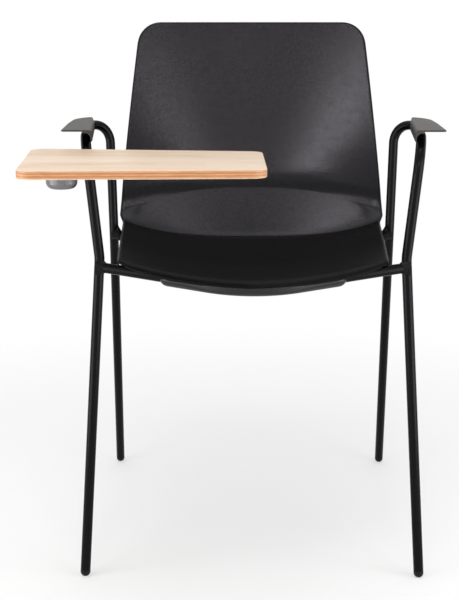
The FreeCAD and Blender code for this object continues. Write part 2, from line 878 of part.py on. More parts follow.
def tablet_screw_bodies():
    """Countersunk screws up through the plate into the tablet."""
    screws = []
    shank_radius = tablet_screw_diameter / 2
    head_radius = tablet_screw_head_diameter / 2
    for x, y in tablet_screw_places():
        head = Part.makeCone(head_radius, shank_radius, tablet_screw_head_height, V(x, y, disc_top))
        shank = upright_cylinder(shank_radius, x, y, disc_top, disc_top + tablet_screw_length)
        screws.append(head.fuse(shank).removeSplitter())
    return Part.makeCompound(screws)


def tablet_plate():
    """The swivel plate under the tablet, with a counterbore for the spindle's head."""
    half_width = tablet_plate_width / 2
    corners = [
        V(hub_x - tablet_plate_outer, hub_y - half_width, 0),
        V(hub_x + tablet_plate_inner, hub_y - half_width, 0),
        V(hub_x + tablet_plate_inner, hub_y + half_width, 0),
        V(hub_x - tablet_plate_outer, hub_y + half_width, 0),
    ]
    radii = [tablet_plate_corner] * len(corners)
    plate = rounded_prism(corners, radii, disc_top, tablet_bottom)
    hole_radius = spindle_diameter / 2 + running_clearance
    hole = upright_cylinder(hole_radius, hub_x, hub_y, disc_top - overrun, tablet_bottom)
    counterbore_radius = spindle_head_diameter / 2 + counterbore_clearance
    stack = spindle_head_height + spring_washer_thickness + running_clearance * 2
    floor = tablet_bottom - stack
    counterbore = upright_cylinder(counterbore_radius, hub_x, hub_y, floor, tablet_bottom + overrun)
    return plate.cut(hole).cut(counterbore).cut(tablet_screw_bodies())


def swivel_spindle():
    """A shouldered screw whose head sits in the plate's counterbore."""
    head_top = tablet_bottom - running_clearance
    head_bottom = head_top - spindle_head_height
    head = upright_cylinder(spindle_head_diameter / 2, hub_x, hub_y, head_bottom, head_top)
    shank = upright_cylinder(spindle_diameter / 2, hub_x, hub_y, hub_top - spindle_depth, head_top)
    return head.fuse(shank).removeSplitter()


def spring_washer():
    """The washer that presses the plate onto the friction disc."""
    top = tablet_bottom - running_clearance - spindle_head_height
    bottom = top - spring_washer_thickness
    bore = spindle_diameter / 2 + running_clearance
    return ring(spring_washer_diameter / 2, bore, hub_x, hub_y, bottom, top)


def friction_disc():
    """The plastic disc between plate and hub."""
    bore = spindle_diameter / 2 + running_clearance
    return ring(friction_disc_diameter / 2, bore, hub_x, hub_y, hub_top, disc_top - running_clearance)


def stop_slot():
    """The slot in the hub's neck that the stop pin runs in; it sets the lift's range."""
    width = stop_pin_diameter + stop_slot_clearance * 2
    radius = neck_diameter / 2 + overrun
    sweep = lift_angle + stop_slot_play_angle * 2 + pin_angle() * 2
    sector = Part.makeCylinder(radius, width, V(0, 0, 0), V(0, 0, 1), sweep)
    sector.rotate(V(0, 0, 0), V(0, 0, 1), lift_angle - stop_slot_play_angle - pin_angle())
    sector.rotate(V(0, 0, 0), V(1, 0, 0), -90)
    sector.translate(V(hub_x, stop_pin_y() - width / 2, bar_height))
    return sector


def pin_angle():
    """Half the angle that the stop pin takes up, seen along the bar, in degrees."""
    return math.degrees(math.asin(stop_pin_diameter / bar_diameter))


def bush_starts():
    """Where the two bushes begin along the bar."""
    return [bar_front_y + bar_bore_run_out, hub_y + neck_reach - bush_length]


def stop_pin_y():
    """The stop pin stands midway between the bushes."""
    first, last = bush_starts()
    return (first + bush_length + last) / 2


def hub_base():
    """The cast hub: a rounded drum under the tablet and a neck that turns on the bar."""
    top_radius = hub_diameter / 2
    drum = Part.makeCone(top_radius - hub_draft, top_radius, hub_height, V(hub_x, hub_y, hub_bottom))
    bottom_edge = [edge for edge in drum.Edges if abs(edge.BoundBox.ZMax - hub_bottom) < running_clearance]
    drum = drum.makeFillet(hub_round, bottom_edge)
    neck = lengthwise(neck_diameter / 2, hub_y, hub_y + neck_reach, hub_x, bar_height)
    bore_start = bar_front_y - bar_bore_run_out
    bore_end = hub_y + neck_reach + overrun
    bore = lengthwise(hub_bore_radius, bore_start, bore_end, hub_x, bar_height)
    thread_radius = spindle_diameter / 2 + press_clearance
    thread_bottom = hub_top - spindle_depth
    thread = upright_cylinder(thread_radius, hub_x, hub_y, thread_bottom, hub_top + overrun)
    return drum.fuse(neck).cut(bore).cut(thread).cut(stop_slot()).removeSplitter()


def bar_bushes():
    """Two plain bearings in the hub."""
    bushes = []
    for start in bush_starts():
        end = start + bush_length
        outer = lengthwise(bush_radius, start, end, hub_x, bar_height)
        hole = lengthwise(bush_bore_radius, start - overrun, end + overrun, hub_x, bar_height)
        bushes.append(outer.cut(hole))
    return Part.makeCompound(bushes)


def lift_stop_pin():
    """A pin pressed into the bar from below."""
    bottom = bar_height - bar_diameter / 2 - stop_pin_standout
    top = bar_height - bar_diameter / 2 + stop_pin_depth
    return upright_cylinder(stop_pin_diameter / 2, hub_x, stop_pin_y(), bottom, top)


def tablet_bar():
    """The fixed bar that carries the hub, with the hole for the stop pin."""
    bar = lengthwise(bar_diameter / 2, bar_front_y, bar_rear_y, hub_x, bar_height)
    pin_top = bar_height - bar_diameter / 2 + stop_pin_depth
    radius = stop_pin_diameter / 2 + press_clearance
    return bar.cut(upright_cylinder(radius, hub_x, stop_pin_y(), bar_height - bar_diameter, pin_top))


def clamp_block(left, right):
    """One half of the clamp between two planes across the chair."""
    block = Part.makeBox(right - left, clamp_half_length * 2, clamp_height)
    block.translate(V(left, upright.y - clamp_half_length, bar_height - clamp_height / 2))
    return block


def rounded_ends(block, plane_x):
    """Rounds the upright edges of a clamp half on its outer plane."""
    def outer(edge):
        box = edge.BoundBox
        return box.ZLength > clamp_height / 2 and abs(box.XMin - plane_x) < running_clearance
    return block.makeFillet(clamp_edge_round, [edge for edge in block.Edges if outer(edge)])


def clamp_outer():
    """The half that holds the bar and takes the screws' threads."""
    block = rounded_ends(clamp_block(clamp_left, upright_x - clamp_split_gap / 2), clamp_left)
    bore_radius = bar_diameter / 2 + press_clearance
    bar_bore = lengthwise(bore_radius, bar_front_y, bar_rear_y + overrun, hub_x, bar_height)
    block = block.cut(bar_bore).cut(tube_seat()).cut(clamp_screw_bodies(press_clearance))
    return block.cut(set_screw(press_clearance, overrun))


def clamp_inner():
    """The cap on the sitter's side of the tube."""
    block = rounded_ends(clamp_block(upright_x + clamp_split_gap / 2, clamp_right), clamp_right)
    return block.cut(tube_seat()).cut(clamp_screw_bodies(clamp_screw_clearance))


def tube_seat():
    """The space that the upright takes in the clamp."""
    return mirrored(rod(side_line, tube_radius + clamp_seat_clearance))


def clamp_screw_bodies(clearance):
    """Two cap screws across the chair, or their holes."""
    screws = []
    radius = clamp_screw_diameter / 2 + clearance
    head_radius = clamp_screw_head_diameter / 2
    head_end = clamp_right + clamp_screw_head_height
    for side in (1, -1):
        y = upright.y + clamp_screw_offset * side
        tip = clamp_right - clamp_screw_length - clearance
        shank = crosswise(radius, tip, clamp_right, y, bar_height)
        head = crosswise(head_radius, clamp_right, head_end, y, bar_height)
        screws.append(head.fuse(shank).removeSplitter())
    return Part.makeCompound(screws)


def set_screw(clearance, run_past):
    """The grub screw that locks the bar, or its hole."""
    bottom = bar_height - clamp_height / 2
    top = bar_height - bar_diameter / 2
    radius = set_screw_diameter / 2 + clearance
    return upright_cylinder(radius, hub_x, upright.y, bottom + set_screw_setback - run_past, top)


# Every node of the chair

side_frame_right = side_frame_right.cut(pad_screw_bodies(pad_screw_clearance))
side_frame_left = mirrored(side_frame_right)
arm_pad_right = arm_pad().cut(pad_screw_bodies(0))
pad_screws_right = pad_screw_bodies(0)
seat_shell = seat_shell_solid()

nodes = {
    "side_frame_right": side_frame_right,
    "side_frame_left": side_frame_left,
    "front_crossbar": front_crossbar,
    "rear_crossbar": rear_crossbar,
    "weld_beads": weld_beads,
    "shell_mount_tabs": mount_tabs(),
    "seat_shell": seat_shell,
    "shell_inserts": inserts(),
    "shell_screws": shell_screws(),
    "foot_glide_front_right": glide(front_foot, front_knee),
    "foot_glide_front_left": mirrored(glide(front_foot, front_knee)),
    "foot_glide_rear_right": glide(rear_foot, rear_knee),
    "foot_glide_rear_left": mirrored(glide(rear_foot, rear_knee)),
    "arm_pad_right": arm_pad_right,
    "arm_pad_left": mirrored(arm_pad_right),
    "arm_pad_screws": Part.makeCompound([pad_screws_right, mirrored(pad_screws_right)]),
    "tablet_clamp_outer": clamp_outer(),
    "tablet_clamp_inner": clamp_inner(),
    "clamp_screws": clamp_screw_bodies(0),
    "bar_set_screw": set_screw(0, 0),
    "tablet_bar": tablet_bar(),
    "lift_stop_pin": lift_stop_pin(),
    "hub_base": hub_base(),
    "bar_bushes": bar_bushes(),
    "friction_disc": friction_disc(),
    "swivel_spindle": swivel_spindle(),
    "spring_washer": spring_washer(),
    "tablet_plate": tablet_plate(),
    "tablet_screws": tablet_screw_bodies(),
    "tablet_board": tablet_board(),
}

# The origin is the middle of the chair's box in plan, on the floor
whole = Part.makeCompound(list(nodes.values()))
box = whole.optimalBoundingBox(False, False)
shift = V(-(box.XMin + box.XMax) / 2, -(box.YMin + box.YMax) / 2, -box.ZMin)

os.makedirs("parts", exist_ok=True)
for name, shape in nodes.items():
    placed = shape.copy()
    placed.translate(shift)
    placed.exportStep("parts/" + name + ".step")
    print(name, placed.isValid(), len(placed.Solids), round(placed.Volume))
print("shift", shift)
print("hub axis", V(hub_x, hub_y, bar_height) + shift)
print("box", box.XLength, box.YLength, box.ZLength)
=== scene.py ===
import math

import bmesh
import bpy
import numpy as np
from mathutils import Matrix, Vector
from mathutils.bvhtree import BVHTree


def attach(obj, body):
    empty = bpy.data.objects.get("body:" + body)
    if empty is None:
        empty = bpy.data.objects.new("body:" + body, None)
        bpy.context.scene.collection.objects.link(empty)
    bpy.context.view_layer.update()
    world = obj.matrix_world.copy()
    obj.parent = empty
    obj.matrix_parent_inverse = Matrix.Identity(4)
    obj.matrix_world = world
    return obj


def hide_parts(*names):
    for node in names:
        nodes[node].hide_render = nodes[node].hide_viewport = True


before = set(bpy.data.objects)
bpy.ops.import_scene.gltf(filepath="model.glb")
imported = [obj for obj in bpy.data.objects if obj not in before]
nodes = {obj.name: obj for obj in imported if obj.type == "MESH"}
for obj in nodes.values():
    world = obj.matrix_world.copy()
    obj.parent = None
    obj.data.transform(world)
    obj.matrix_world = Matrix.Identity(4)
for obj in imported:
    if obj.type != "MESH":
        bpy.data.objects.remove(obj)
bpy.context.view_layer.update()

# Lengths are in millimetres from the floor midway between the front feet; SHIFT places them in the frame.
# Right is +x, and shapes with two sides are given for the right one.
SHIFT = np.array([15.176847, -127.714832, 0.0])

# Corners of the side tube's centre line, from the front foot up, along the arm and down again
FRONT_FOOT = np.array([253.0, 0.0, 0.0])
FRONT_KNEE = np.array([224.6, 44.5, 482.0])
ARM_FRONT = np.array([241.0, 40.0, 657.0])
ARM_REAR = np.array([264.0, 269.0, 657.0])
ARM_END = np.array([233.0, 298.0, 657.0])
REAR_KNEE = np.array([227.2, 275.0, 481.0])
# The radii of the bends at the arm's front, rear and end, and the tube's radius with its clearance
ARM_BENDS = (48.0, 27.0, 28.5)
TUBE_ROOM = 7.8


def placed(points):
    """Points in millimetres as metres in the frame."""
    return (np.asarray(points, float) + SHIFT) * 0.001


def mix(low, high, share):
    return low + (high - low) * share


def smoothstep(low, high, value):
    share = np.clip((value - low) / (high - low), 0, 1)
    return share * share * (3 - 2 * share)


def unit(vector):
    length = np.linalg.norm(vector, axis=-1, keepdims=True)
    return vector / np.maximum(length, 1e-12)


def outward(piece):
    """Makes every face of a closed mesh look outwards."""
    work = bmesh.new()
    work.from_mesh(piece.data)
    bmesh.ops.recalc_face_normals(work, faces=work.faces)
    work.to_mesh(piece.data)
    work.free()


def mesh_object(name, points, faces):
    """A closed mesh from points in millimetres."""
    mesh = bpy.data.meshes.new(name)
    mesh.from_pydata([tuple(p) for p in placed(points)], [], [tuple(f) for f in faces])
    mesh.validate()
    thing = bpy.data.objects.new(name, mesh)
    bpy.context.scene.collection.objects.link(thing)
    outward(thing)
    return thing


def mesh_piece(name, points, faces, body, slot, replaced=()):
    """A smooth-shaded mesh that rides on a body and may stand for nodes."""
    piece = mesh_object(name, points, faces)
    piece.data.polygons.foreach_set("use_smooth", [True] * len(piece.data.polygons))
    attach(piece, body)
    if replaced:
        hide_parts(*replaced)
    return piece


def grid_faces(rows, columns, start=0, wrap=False):
    """Quads of a grid of points stored row after row."""
    faces = []
    last = columns if wrap else columns - 1
    for r in range(rows - 1):
        for c in range(last):
            a = start + r * columns + c
            b = start + r * columns + (c + 1) % columns
            faces.append((a, b, b + columns, a + columns))
    return faces


def capped(rings):
    """Points and faces of a body through rings of equal size, with a face at either end."""
    rows, size = len(rings), len(rings[0])
    faces = grid_faces(rows, size, 0, True)
    faces.append(tuple(range(size)))
    faces.append(tuple((rows - 1) * size + k for k in range(size)))
    return [p for ring in rings for p in ring], faces


def circle(centre, radius, side, top, around):
    """Points round a centre, in the plane of two directions."""
    points = []
    for k in range(around):
        angle = 2 * math.pi * k / around
        points.append(centre + radius * (side * math.cos(angle) + top * math.sin(angle)))
    return points


def corner_arc(before, corner, after, radius, steps):
    """Points of the arc that rounds the corner between two straight runs."""
    a = unit(before - corner)
    b = unit(after - corner)
    half = math.acos(float(a @ b)) / 2
    centre = corner + unit(a + b) * radius / math.sin(half)
    first = corner + a * radius / math.tan(half) - centre
    last = corner + b * radius / math.tan(half) - centre
    total = math.acos(float(np.clip(unit(first) @ unit(last), -1, 1)))
    points = []
    for k in range(steps + 1):
        t = k / steps
        blend = (math.sin((1 - t) * total) * first + math.sin(t * total) * last) / math.sin(total)
        points.append(centre + blend)
    return points


def rounded_outline(corners, radii, steps):
    """Points round a polygon whose corners have these radii."""
    corners = [np.array(corner, float) for corner in corners]
    points = []
    for i, corner in enumerate(corners):
        after = corners[(i + 1) % len(corners)]
        points += corner_arc(corners[i - 1], corner, after, radii[i], steps)
    return np.array(points)


def arc_points(centre, radius, first, last, steps):
    """Points of an arc in a section's plane, by angles in degrees."""
    turns = np.radians(np.linspace(first, last, steps))
    return [(centre[0] + radius * math.cos(t), centre[1] + radius * math.sin(t)) for t in turns]


# Seat and back shell

# The seat, by its run from the front edge to the facet: how much of the dish and of the front roll it has
SEAT_RUNS = (0.0, 0.012, 0.03, 0.045, 0.0756, 0.11, 0.22, 0.38, 0.55, 0.71, 0.84, 0.94, 1.0)
SEAT_DISH = (0.25, 0.25, 0.25, 0.25, 0.25, 0.27, 0.36, 0.68, 0.94, 1, 0.9, 0.66, 0.467)
SEAT_ROLL = (0.72, 0.27, 0.06, 0, 0, 0, 0, 0, 0, 0, 0, 0, 0)
SEAT_LENGTH = 380.0
SEAT_FRONT_HALF, SEAT_REAR_HALF = 196.5, 217.5
SEAT_FRONT_MIDDLE_Y, SEAT_FRONT_SIDE_Y, SEAT_FRONT_BOW = -52.004, 22.0, 1.45
SEAT_REAR_MIDDLE_Y, SEAT_REAR_SIDE_Y = 345.0, 335.0
SEAT_MIDDLE_Z, SEAT_DISH_DEPTH = 471.5, 18.0
SEAT_FRONT_SIDE_Z, SEAT_REAR_SIDE_Z = 483.5, 491.0
SEAT_FRONT_CURL, SEAT_REAR_CURL = 2.4, 3.0
# The roll of the front edge, less deep at the sides and with a swell between middle and side
ROLL_DEPTH, ROLL_SIDE_LOSS = 12.0, 0.7

# The back, from the facet to its top
BACK_RUNS = (0.0, 0.06, 0.16, 0.3, 0.46, 0.64, 0.82, 1.0)
BACK_LENGTH = 300.0
BACK_LOW_HALF, BACK_TOP_HALF = 224.5, 192.5
BACK_MIDDLE_Y, BACK_MIDDLE_LEAN = 400.0, 55.0
BACK_SIDE_Y, BACK_SIDE_LEAN = 348.0, 99.0
BACK_LOW_MIDDLE_Z, BACK_LOW_SIDE_Z, BACK_TOP_Z = 541.0, 498.0, 820.0
BACK_CURL = 2.4

SHELL_WALL = 4.5
SEAT_CORNER_RADIUS = 24.0
BACK_CORNER_RADIUS = 40.0

# The rounding of the side rim, widest where the back's rim begins
RIM_WIDTH, RIM_SWELL = 2.6, 2.4
RIM_SWELL_Z, RIM_SWELL_REACH = 512.0, 26.0
RIM_DEPTH = 3.1
RIM_ANGLES = (22.5, 45, 67.5, 90)
# The rim's last two rings, by inset from its outermost line and depth below the top
RIM_LOWER_EDGE = ((0.35, SHELL_WALL - 0.45), (1.2, SHELL_WALL))

# Rows and columns of the shell's grid, closer together where the shape turns
CREASE_REACH = 1.6
SEAT_SHARES = np.concatenate([
    (0, 0.004, 0.008, 0.012, 0.017, 0.022, 0.028, 0.034, 0.041, 0.05, 0.062, 0.078),
    np.linspace(0.1, 0.97, 27),
    (0.985, 1 - CREASE_REACH / SEAT_LENGTH),
])
FACET_SHARES = (0.03, 0.12, 0.24, 0.37, 0.5, 0.63, 0.76, 0.88, 0.97)
BACK_SHARES = np.concatenate([
    (CREASE_REACH / BACK_LENGTH, 0.02),
    np.linspace(0.04, 0.86, 27),
    0.86 + 0.14 * np.sin(np.linspace(0, math.pi / 2, 12))[1:],
])
HALF_COLUMNS = np.concatenate([np.linspace(0, 0.84, 23), np.linspace(0.84, 1, 19)[1:]])
LOW_CREASE = len(SEAT_SHARES)
HIGH_CREASE = LOW_CREASE + len(FACET_SHARES) + 1

# The eye-shaped facet's blunt tips
FACET_HALF = 222.0
EYE_TIP_FROM = 150.0
EYE_TIP_INSET = 6.5
EYE_TIP_ROUND = 5.0
EYE_ROWS = 12
EYE_BLUR = 9.0
EYE_FADE = (24, 40)
EYE_TIP_EDGE = (-0.5, 3.0)
EYE_TIP_APPROACH = (-9, 1)


class Curve:
    """A cubic spline by chord length; each end's slope comes from the four points nearest to it."""

    def __init__(self, points):
        self.p = np.asarray(points, float)
        steps = np.linalg.norm(np.diff(self.p, axis=0), axis=1)
        self.u = np.concatenate([[0.0], np.cumsum(steps)])
        n = len(self.p)
        h = np.diff(self.u)
        slope = np.diff(self.p, axis=0) / h[:, None]
        matrix = np.zeros((n, n))
        right = np.zeros((n, 3))
        matrix[0, 0] = 1
        matrix[-1, -1] = 1
        right[0] = self.end_slope(self.u[:4], self.p[:4], self.u[0])
        right[-1] = self.end_slope(self.u[-4:], self.p[-4:], self.u[-1])
        for i in range(1, n - 1):
            matrix[i, i - 1] = h[i]
            matrix[i, i] = 2 * (h[i - 1] + h[i])
            matrix[i, i + 1] = h[i - 1]
            right[i] = 3 * (h[i] * slope[i - 1] + h[i - 1] * slope[i])
        self.d = np.linalg.solve(matrix, right)

    @staticmethod
    def end_slope(u, p, at):
        return np.array([np.polyfit(u - at, p[:, k], 3)[2] for k in range(3)])

    def at(self, u):
        i = int(np.clip(np.searchsorted(self.u, u) - 1, 0, len(self.u) - 2))
        h = self.u[i + 1] - self.u[i]
        t = (u - self.u[i]) / h
        a = (2 * t**3 - 3 * t**2 + 1) * self.p[i]
        b = (t**3 - 2 * t**2 + t) * h * self.d[i]
        c = (3 * t**2 - 2 * t**3) * self.p[i + 1]
        d = (t**3 - t**2) * h * self.d[i + 1]
        return a + b + c + d


def seat_point(across, run, dish, roll):
    """A point of the seat's top; across runs from 0 in the middle to 1 at the side."""
    side_y = mix(SEAT_FRONT_SIDE_Y, SEAT_REAR_SIDE_Y, run)
    y = mix(mix(SEAT_FRONT_MIDDLE_Y, SEAT_REAR_MIDDLE_Y, run), side_y, across**SEAT_FRONT_BOW)
    side_z = mix(SEAT_FRONT_SIDE_Z, SEAT_REAR_SIDE_Z, run)
    curl = mix(SEAT_FRONT_CURL, SEAT_REAR_CURL, run)
    z = mix(SEAT_MIDDLE_Z - SEAT_DISH_DEPTH * dish, side_z, across**curl)
    drop = ROLL_DEPTH * (1 - ROLL_SIDE_LOSS * across**8) + ROLL_DEPTH * (across**2.4 - across**3.6)
    return np.array([across * mix(SEAT_FRONT_HALF, SEAT_REAR_HALF, run), y, z - roll * drop])


def back_point(across, run):
    """A point of the back's front side."""
    share = across**BACK_CURL
    middle_y = BACK_MIDDLE_Y + BACK_MIDDLE_LEAN * run**0.8
    y = mix(middle_y, BACK_SIDE_Y + BACK_SIDE_LEAN * run**0.6, share)
    middle_z = mix(BACK_LOW_MIDDLE_Z, BACK_TOP_Z, run)
    z = mix(middle_z, mix(BACK_LOW_SIDE_Z, BACK_TOP_Z, run), share)
    return np.array([across * mix(BACK_LOW_HALF, BACK_TOP_HALF, run**1.3), y, z])


curve_store = {}


def shell_curves(across):
    """The seat's and the back's lines at a place across the shell."""
    key = round(across, 6)
    if key not in curve_store:
        seat = Curve([seat_point(key, *row) for row in zip(SEAT_RUNS, SEAT_DISH, SEAT_ROLL)])
        back = Curve([back_point(key, run) for run in BACK_RUNS])
        curve_store[key] = (seat, back)
    return curve_store[key]


def run_to_length(curve, runs, run):
    return float(np.interp(run, runs, curve.u))


def rim_width(height):
    bump = math.exp(-(((height - RIM_SWELL_Z) / RIM_SWELL_REACH) ** 2))
    return RIM_WIDTH + RIM_SWELL * bump


def seat_at(across, share):
    """A seat point; share runs from 0 at the front rim's inner line to 1 at the facet."""
    curve = shell_curves(across)[0]
    run = np.interp(rim_width(0.0), curve.u, SEAT_RUNS)
    return curve.at(run_to_length(curve, SEAT_RUNS, mix(run, 1.0, share)))


def back_at(across, share):
    """A back point; share runs from 0 at the facet to 1 at the top rim's inner line."""
    curve = shell_curves(across)[1]
    run = np.interp(curve.u[-1] - rim_width(BACK_TOP_Z), curve.u, BACK_RUNS)
    return curve.at(run_to_length(curve, BACK_RUNS, run * share))


def facet_at(across, share):
    """A facet point; share runs from 0 at the seat to 1 at the back."""
    seat, back = shell_curves(across)
    return mix(seat.p[-1], back.p[0], share)


class Corner:
    """A rounded corner of the outline in one plane, given by its corner point and two directions."""

    def __init__(self, corner, one_way, other_way, radius, axes):
        self.axes = axes
        c = corner[axes]
        a = unit(one_way[axes])
        b = unit(other_way[axes])
        half = math.acos(float(np.clip(a @ b, -1, 1))) / 2
        self.reach = radius / math.tan(half)
        self.centre = c + unit(a + b) * radius / math.sin(half)
        self.corner, self.a, self.b, self.radius = c, a, b, radius

    def outside(self, point, inset):
        """Whether a point lies beyond the arc, the outline being inset by this much."""
        p = point[self.axes]
        if (p - self.corner) @ self.a > self.reach or (p - self.corner) @ self.b > self.reach:
            return False
        return np.linalg.norm(p - self.centre) > self.radius - inset


seat_corner = Corner(
    seat_point(1, 0, 0, 1),
    seat_point(0.9, 0, 0, 1) - seat_point(1, 0, 0, 1),
    seat_point(1, 0.1, 0, 0) - seat_point(1, 0, 0, 1),
    SEAT_CORNER_RADIUS,
    [0, 1],
)
back_corner = Corner(
    back_point(1, 1),
    np.array([-1.0, 0.0, 0.0]),
    back_point(1, 0.82) - back_point(1, 1),
    BACK_CORNER_RADIUS,
    [0, 2],
)


def row_limit(place, share, corner):
    """How far across a row may run: to the side rim's inner line or the rounded corner."""
    edge = place(1.0, share)
    limit = 1.0 - rim_width(edge[2]) / edge[0]
    if corner is None or not corner.outside(place(limit, share), rim_width(edge[2])):
        return limit
    low, high = 0.6, limit
    for _ in range(26):
        middle = (low + high) / 2
        if corner.outside(place(middle, share), rim_width(edge[2])):
            high = middle
        else:
            low = middle
    return low


def shell_grid():
    """The shell's sitting side as a grid of points, front row first, left to right."""
    across = np.concatenate([-HALF_COLUMNS[:0:-1], HALF_COLUMNS])
    rows = [(seat_at, share, seat_corner) for share in SEAT_SHARES]
    rows += [(facet_at, share, None) for share in (0.0, *FACET_SHARES, 1.0)]
    rows += [(back_at, share, back_corner) for share in BACK_SHARES]
    grid = []
    for place, share, corner in rows:
        limit = row_limit(place, share, corner)
        right = [place(abs(c) * limit, share) for c in across]
        grid.append([p * np.array([np.sign(c) if c else 1, 1, 1]) for p, c in zip(right, across)])
    return np.array(grid)


def rounded_creases(grid):
    """Softens the facet's two creases to a small radius."""
    out = grid.copy()
    for row in (LOW_CREASE, HIGH_CREASE):
        out[row] = (grid[row - 1] + 2 * grid[row] + grid[row + 1]) / 4
    return out


def rounded_eye(grid):
    """Ends the eye facet in a blunt rounded tip and blends seat into back beyond it."""
    out = grid.copy()
    first = LOW_CREASE - EYE_ROWS
    last = HIGH_CREASE + EYE_ROWS
    for column in range(grid.shape[1]):
        line = grid[first:last + 1, column]
        if abs(line[LOW_CREASE - first, 0]) < EYE_TIP_FROM:
            continue
        step = np.linalg.norm(np.diff(line, axis=0), axis=1)
        along = np.concatenate([[0], np.cumsum(step)])
        begin, end = along[LOW_CREASE - first], along[HIGH_CREASE - first]
        middle = (begin + end) / 2
        half = (end - begin) / 2
        weight = np.exp(-0.5 * ((along[:, None] - along[None, :]) / EYE_BLUR) ** 2)
        weight = weight * np.gradient(along)[None, :]
        weight /= weight.sum(axis=1, keepdims=True)
        blurred = weight @ line
        fade = 1 - smoothstep(*EYE_FADE, np.abs(along - middle))
        beyond = np.abs(line[:, 0]) - (FACET_HALF - EYE_TIP_INSET)
        corner = [np.abs(along - middle) - (half - EYE_TIP_ROUND), beyond + EYE_TIP_ROUND]
        q = np.stack(corner, axis=1)
        distance = np.linalg.norm(np.maximum(q, 0), axis=1) + np.minimum(q.max(axis=1), 0) - EYE_TIP_ROUND
        amount = smoothstep(*EYE_TIP_EDGE, distance) * smoothstep(*EYE_TIP_APPROACH, beyond) * fade
        moved = line + (blurred - line) * amount[:, None]
        moved[:, 0] = line[:, 0]
        out[first:last + 1, column] = moved
    return out


def grid_normals(grid):
    along = np.gradient(grid, axis=0)
    across = np.gradient(grid, axis=1)
    return unit(np.cross(across, along))


def boundary_loop(rows, columns):
    """Indices round the grid's border."""
    loop = [(0, c) for c in range(columns)]
    loop += [(r, columns - 1) for r in range(1, rows)]
    loop += [(rows - 1, c) for c in range(columns - 2, -1, -1)]
    loop += [(r, 0) for r in range(rows - 2, 0, -1)]
    return loop


def build_shell():
    """The shell's sitting surface, and the points and faces of the whole wall with its rounded rim."""
    grid = rounded_eye(rounded_creases(shell_grid()))
    normals = grid_normals(grid)
    rows, columns = grid.shape[:2]
    count = rows * columns
    points = list(grid.reshape(-1, 3))
    points += list((grid - normals * SHELL_WALL).reshape(-1, 3))
    faces = grid_faces(rows, columns) + grid_faces(rows, columns, count)
    loop = boundary_loop(rows, columns)
    border = np.array([grid[r, c] for r, c in loop])
    up = np.array([normals[r, c] for r, c in loop])
    tangent = unit(np.roll(border, -1, axis=0) - np.roll(border, 1, axis=0))
    out = unit(np.cross(tangent, up))
    width = np.array([rim_width(p[2]) for p in border])[:, None]
    rings = []
    for turn in np.radians(RIM_ANGLES):
        rings.append(border + out * width * math.sin(turn) - up * RIM_DEPTH * (1 - math.cos(turn)))
    for inset, depth in RIM_LOWER_EDGE:
        rings.append(border + out * (width - inset) - up * depth)
    size = len(loop)
    top = [r * columns + c for r, c in loop]
    levels = [top]
    for ring in rings:
        levels.append([len(points) + i for i in range(size)])
        points += list(ring)
    levels.append([count + i for i in top])
    for one, other in zip(levels, levels[1:]):
        for i in range(size):
            j = (i + 1) % size
            faces.append((one[i], one[j], other[j], other[i]))
    return grid, points, faces


# Lip and bosses under the seat

# The front crossbar: two straight runs that would meet at BAR_VERTEX, and the bend between them
BAR_END_Z = 469.5
BAR_VERTEX = np.array([0.0, -54.154, 454.6])
BAR_BEND = 162.0

LIP_RADIUS = 12.0
LIP_HALF = 133.0
LIP_END_ANGLES = (15, 30, 42, 49)
LIP_STATIONS = 61
LIP_SIDES = 40
# Rows of the seat over the lip, and how far the lip stays inside the seat's wall and out at its front edge
LIP_ROWS = 30
LIP_SINK, LIP_EDGE_SINK = SHELL_WALL * 0.5, SHELL_WALL * 0.6
LIP_OVERHANG = 0.6

BOSS_X = 95.0
BOSS_YS = (259.5, 290.5)
BOSS_FOOT = 440.5
# A boss by radius and height: from its foot with the screw's bore, and from the seat's underside
BOSS_LOW = ((3.6, 7.8), (3.6, 0.0), (6.1, 0.0), (6.5, 0.4))
BOSS_HIGH = ((6.5, -3.5), (6.9, -1.6), (7.8, -0.2), (9.4, 0.9))
BOSS_SIDES = 32
BOSS_ROWS = 45

BELOW_SEAT = 400.0


def bar_line():
    """The straight run and its end, then the bend's centre with the ways to its middle and side."""
    end = mix(FRONT_FOOT, FRONT_KNEE, BAR_END_Z / FRONT_KNEE[2])
    way = unit(end - BAR_VERTEX)
    other = way * np.array([-1, 1, 1])
    half = math.acos(float(way @ other)) / 2
    start = BAR_VERTEX + way * (BAR_BEND / math.tan(half))
    centre = BAR_VERTEX + unit(way + other) * BAR_BEND / math.sin(half)
    middle = unit(BAR_VERTEX - centre)
    spoke = start - centre
    side = unit(spoke - middle * (spoke @ middle))
    return way, start, centre, middle, side


def bar_point(x):
    """The front crossbar's centre at a place across the chair."""
    way, start, centre, middle, side = bar_line()
    if abs(x) >= start[0]:
        point = BAR_VERTEX + way * (abs(x) - BAR_VERTEX[0]) / way[0]
    else:
        angle = math.asin(abs(x) / (BAR_BEND * side[0]))
        point = centre + BAR_BEND * (middle * math.cos(angle) + side * math.sin(angle))
    return np.array([math.copysign(point[0], x), point[1], point[2]])


def seat_skin(grid, rows):
    """The seat's top over its first rows, to measure against."""
    points = [tuple(p) for p in grid[:rows].reshape(-1, 3)]
    return BVHTree.FromPolygons(points, grid_faces(rows, grid.shape[1]))


def skin_above(skin, x, y):
    """The seat's top over a place below it, or None beyond the seat's edge."""
    return skin.ray_cast(Vector((x, y, BELOW_SEAT)), Vector((0, 0, 1)))[0]


def lowered(skin, point):
    """The point, brought down into the seat's wall if it stands higher, and back to the seat's edge."""
    x, y, z = point
    hit = skin_above(skin, x, y)
    if hit is None:
        edge = skin.find_nearest(Vector((x, y, z)))[0]
        return np.array([x, max(y, edge.y - LIP_OVERHANG), min(z, edge.z - LIP_EDGE_SINK)])
    return np.array([x, y, min(z, hit.z - LIP_SINK)])


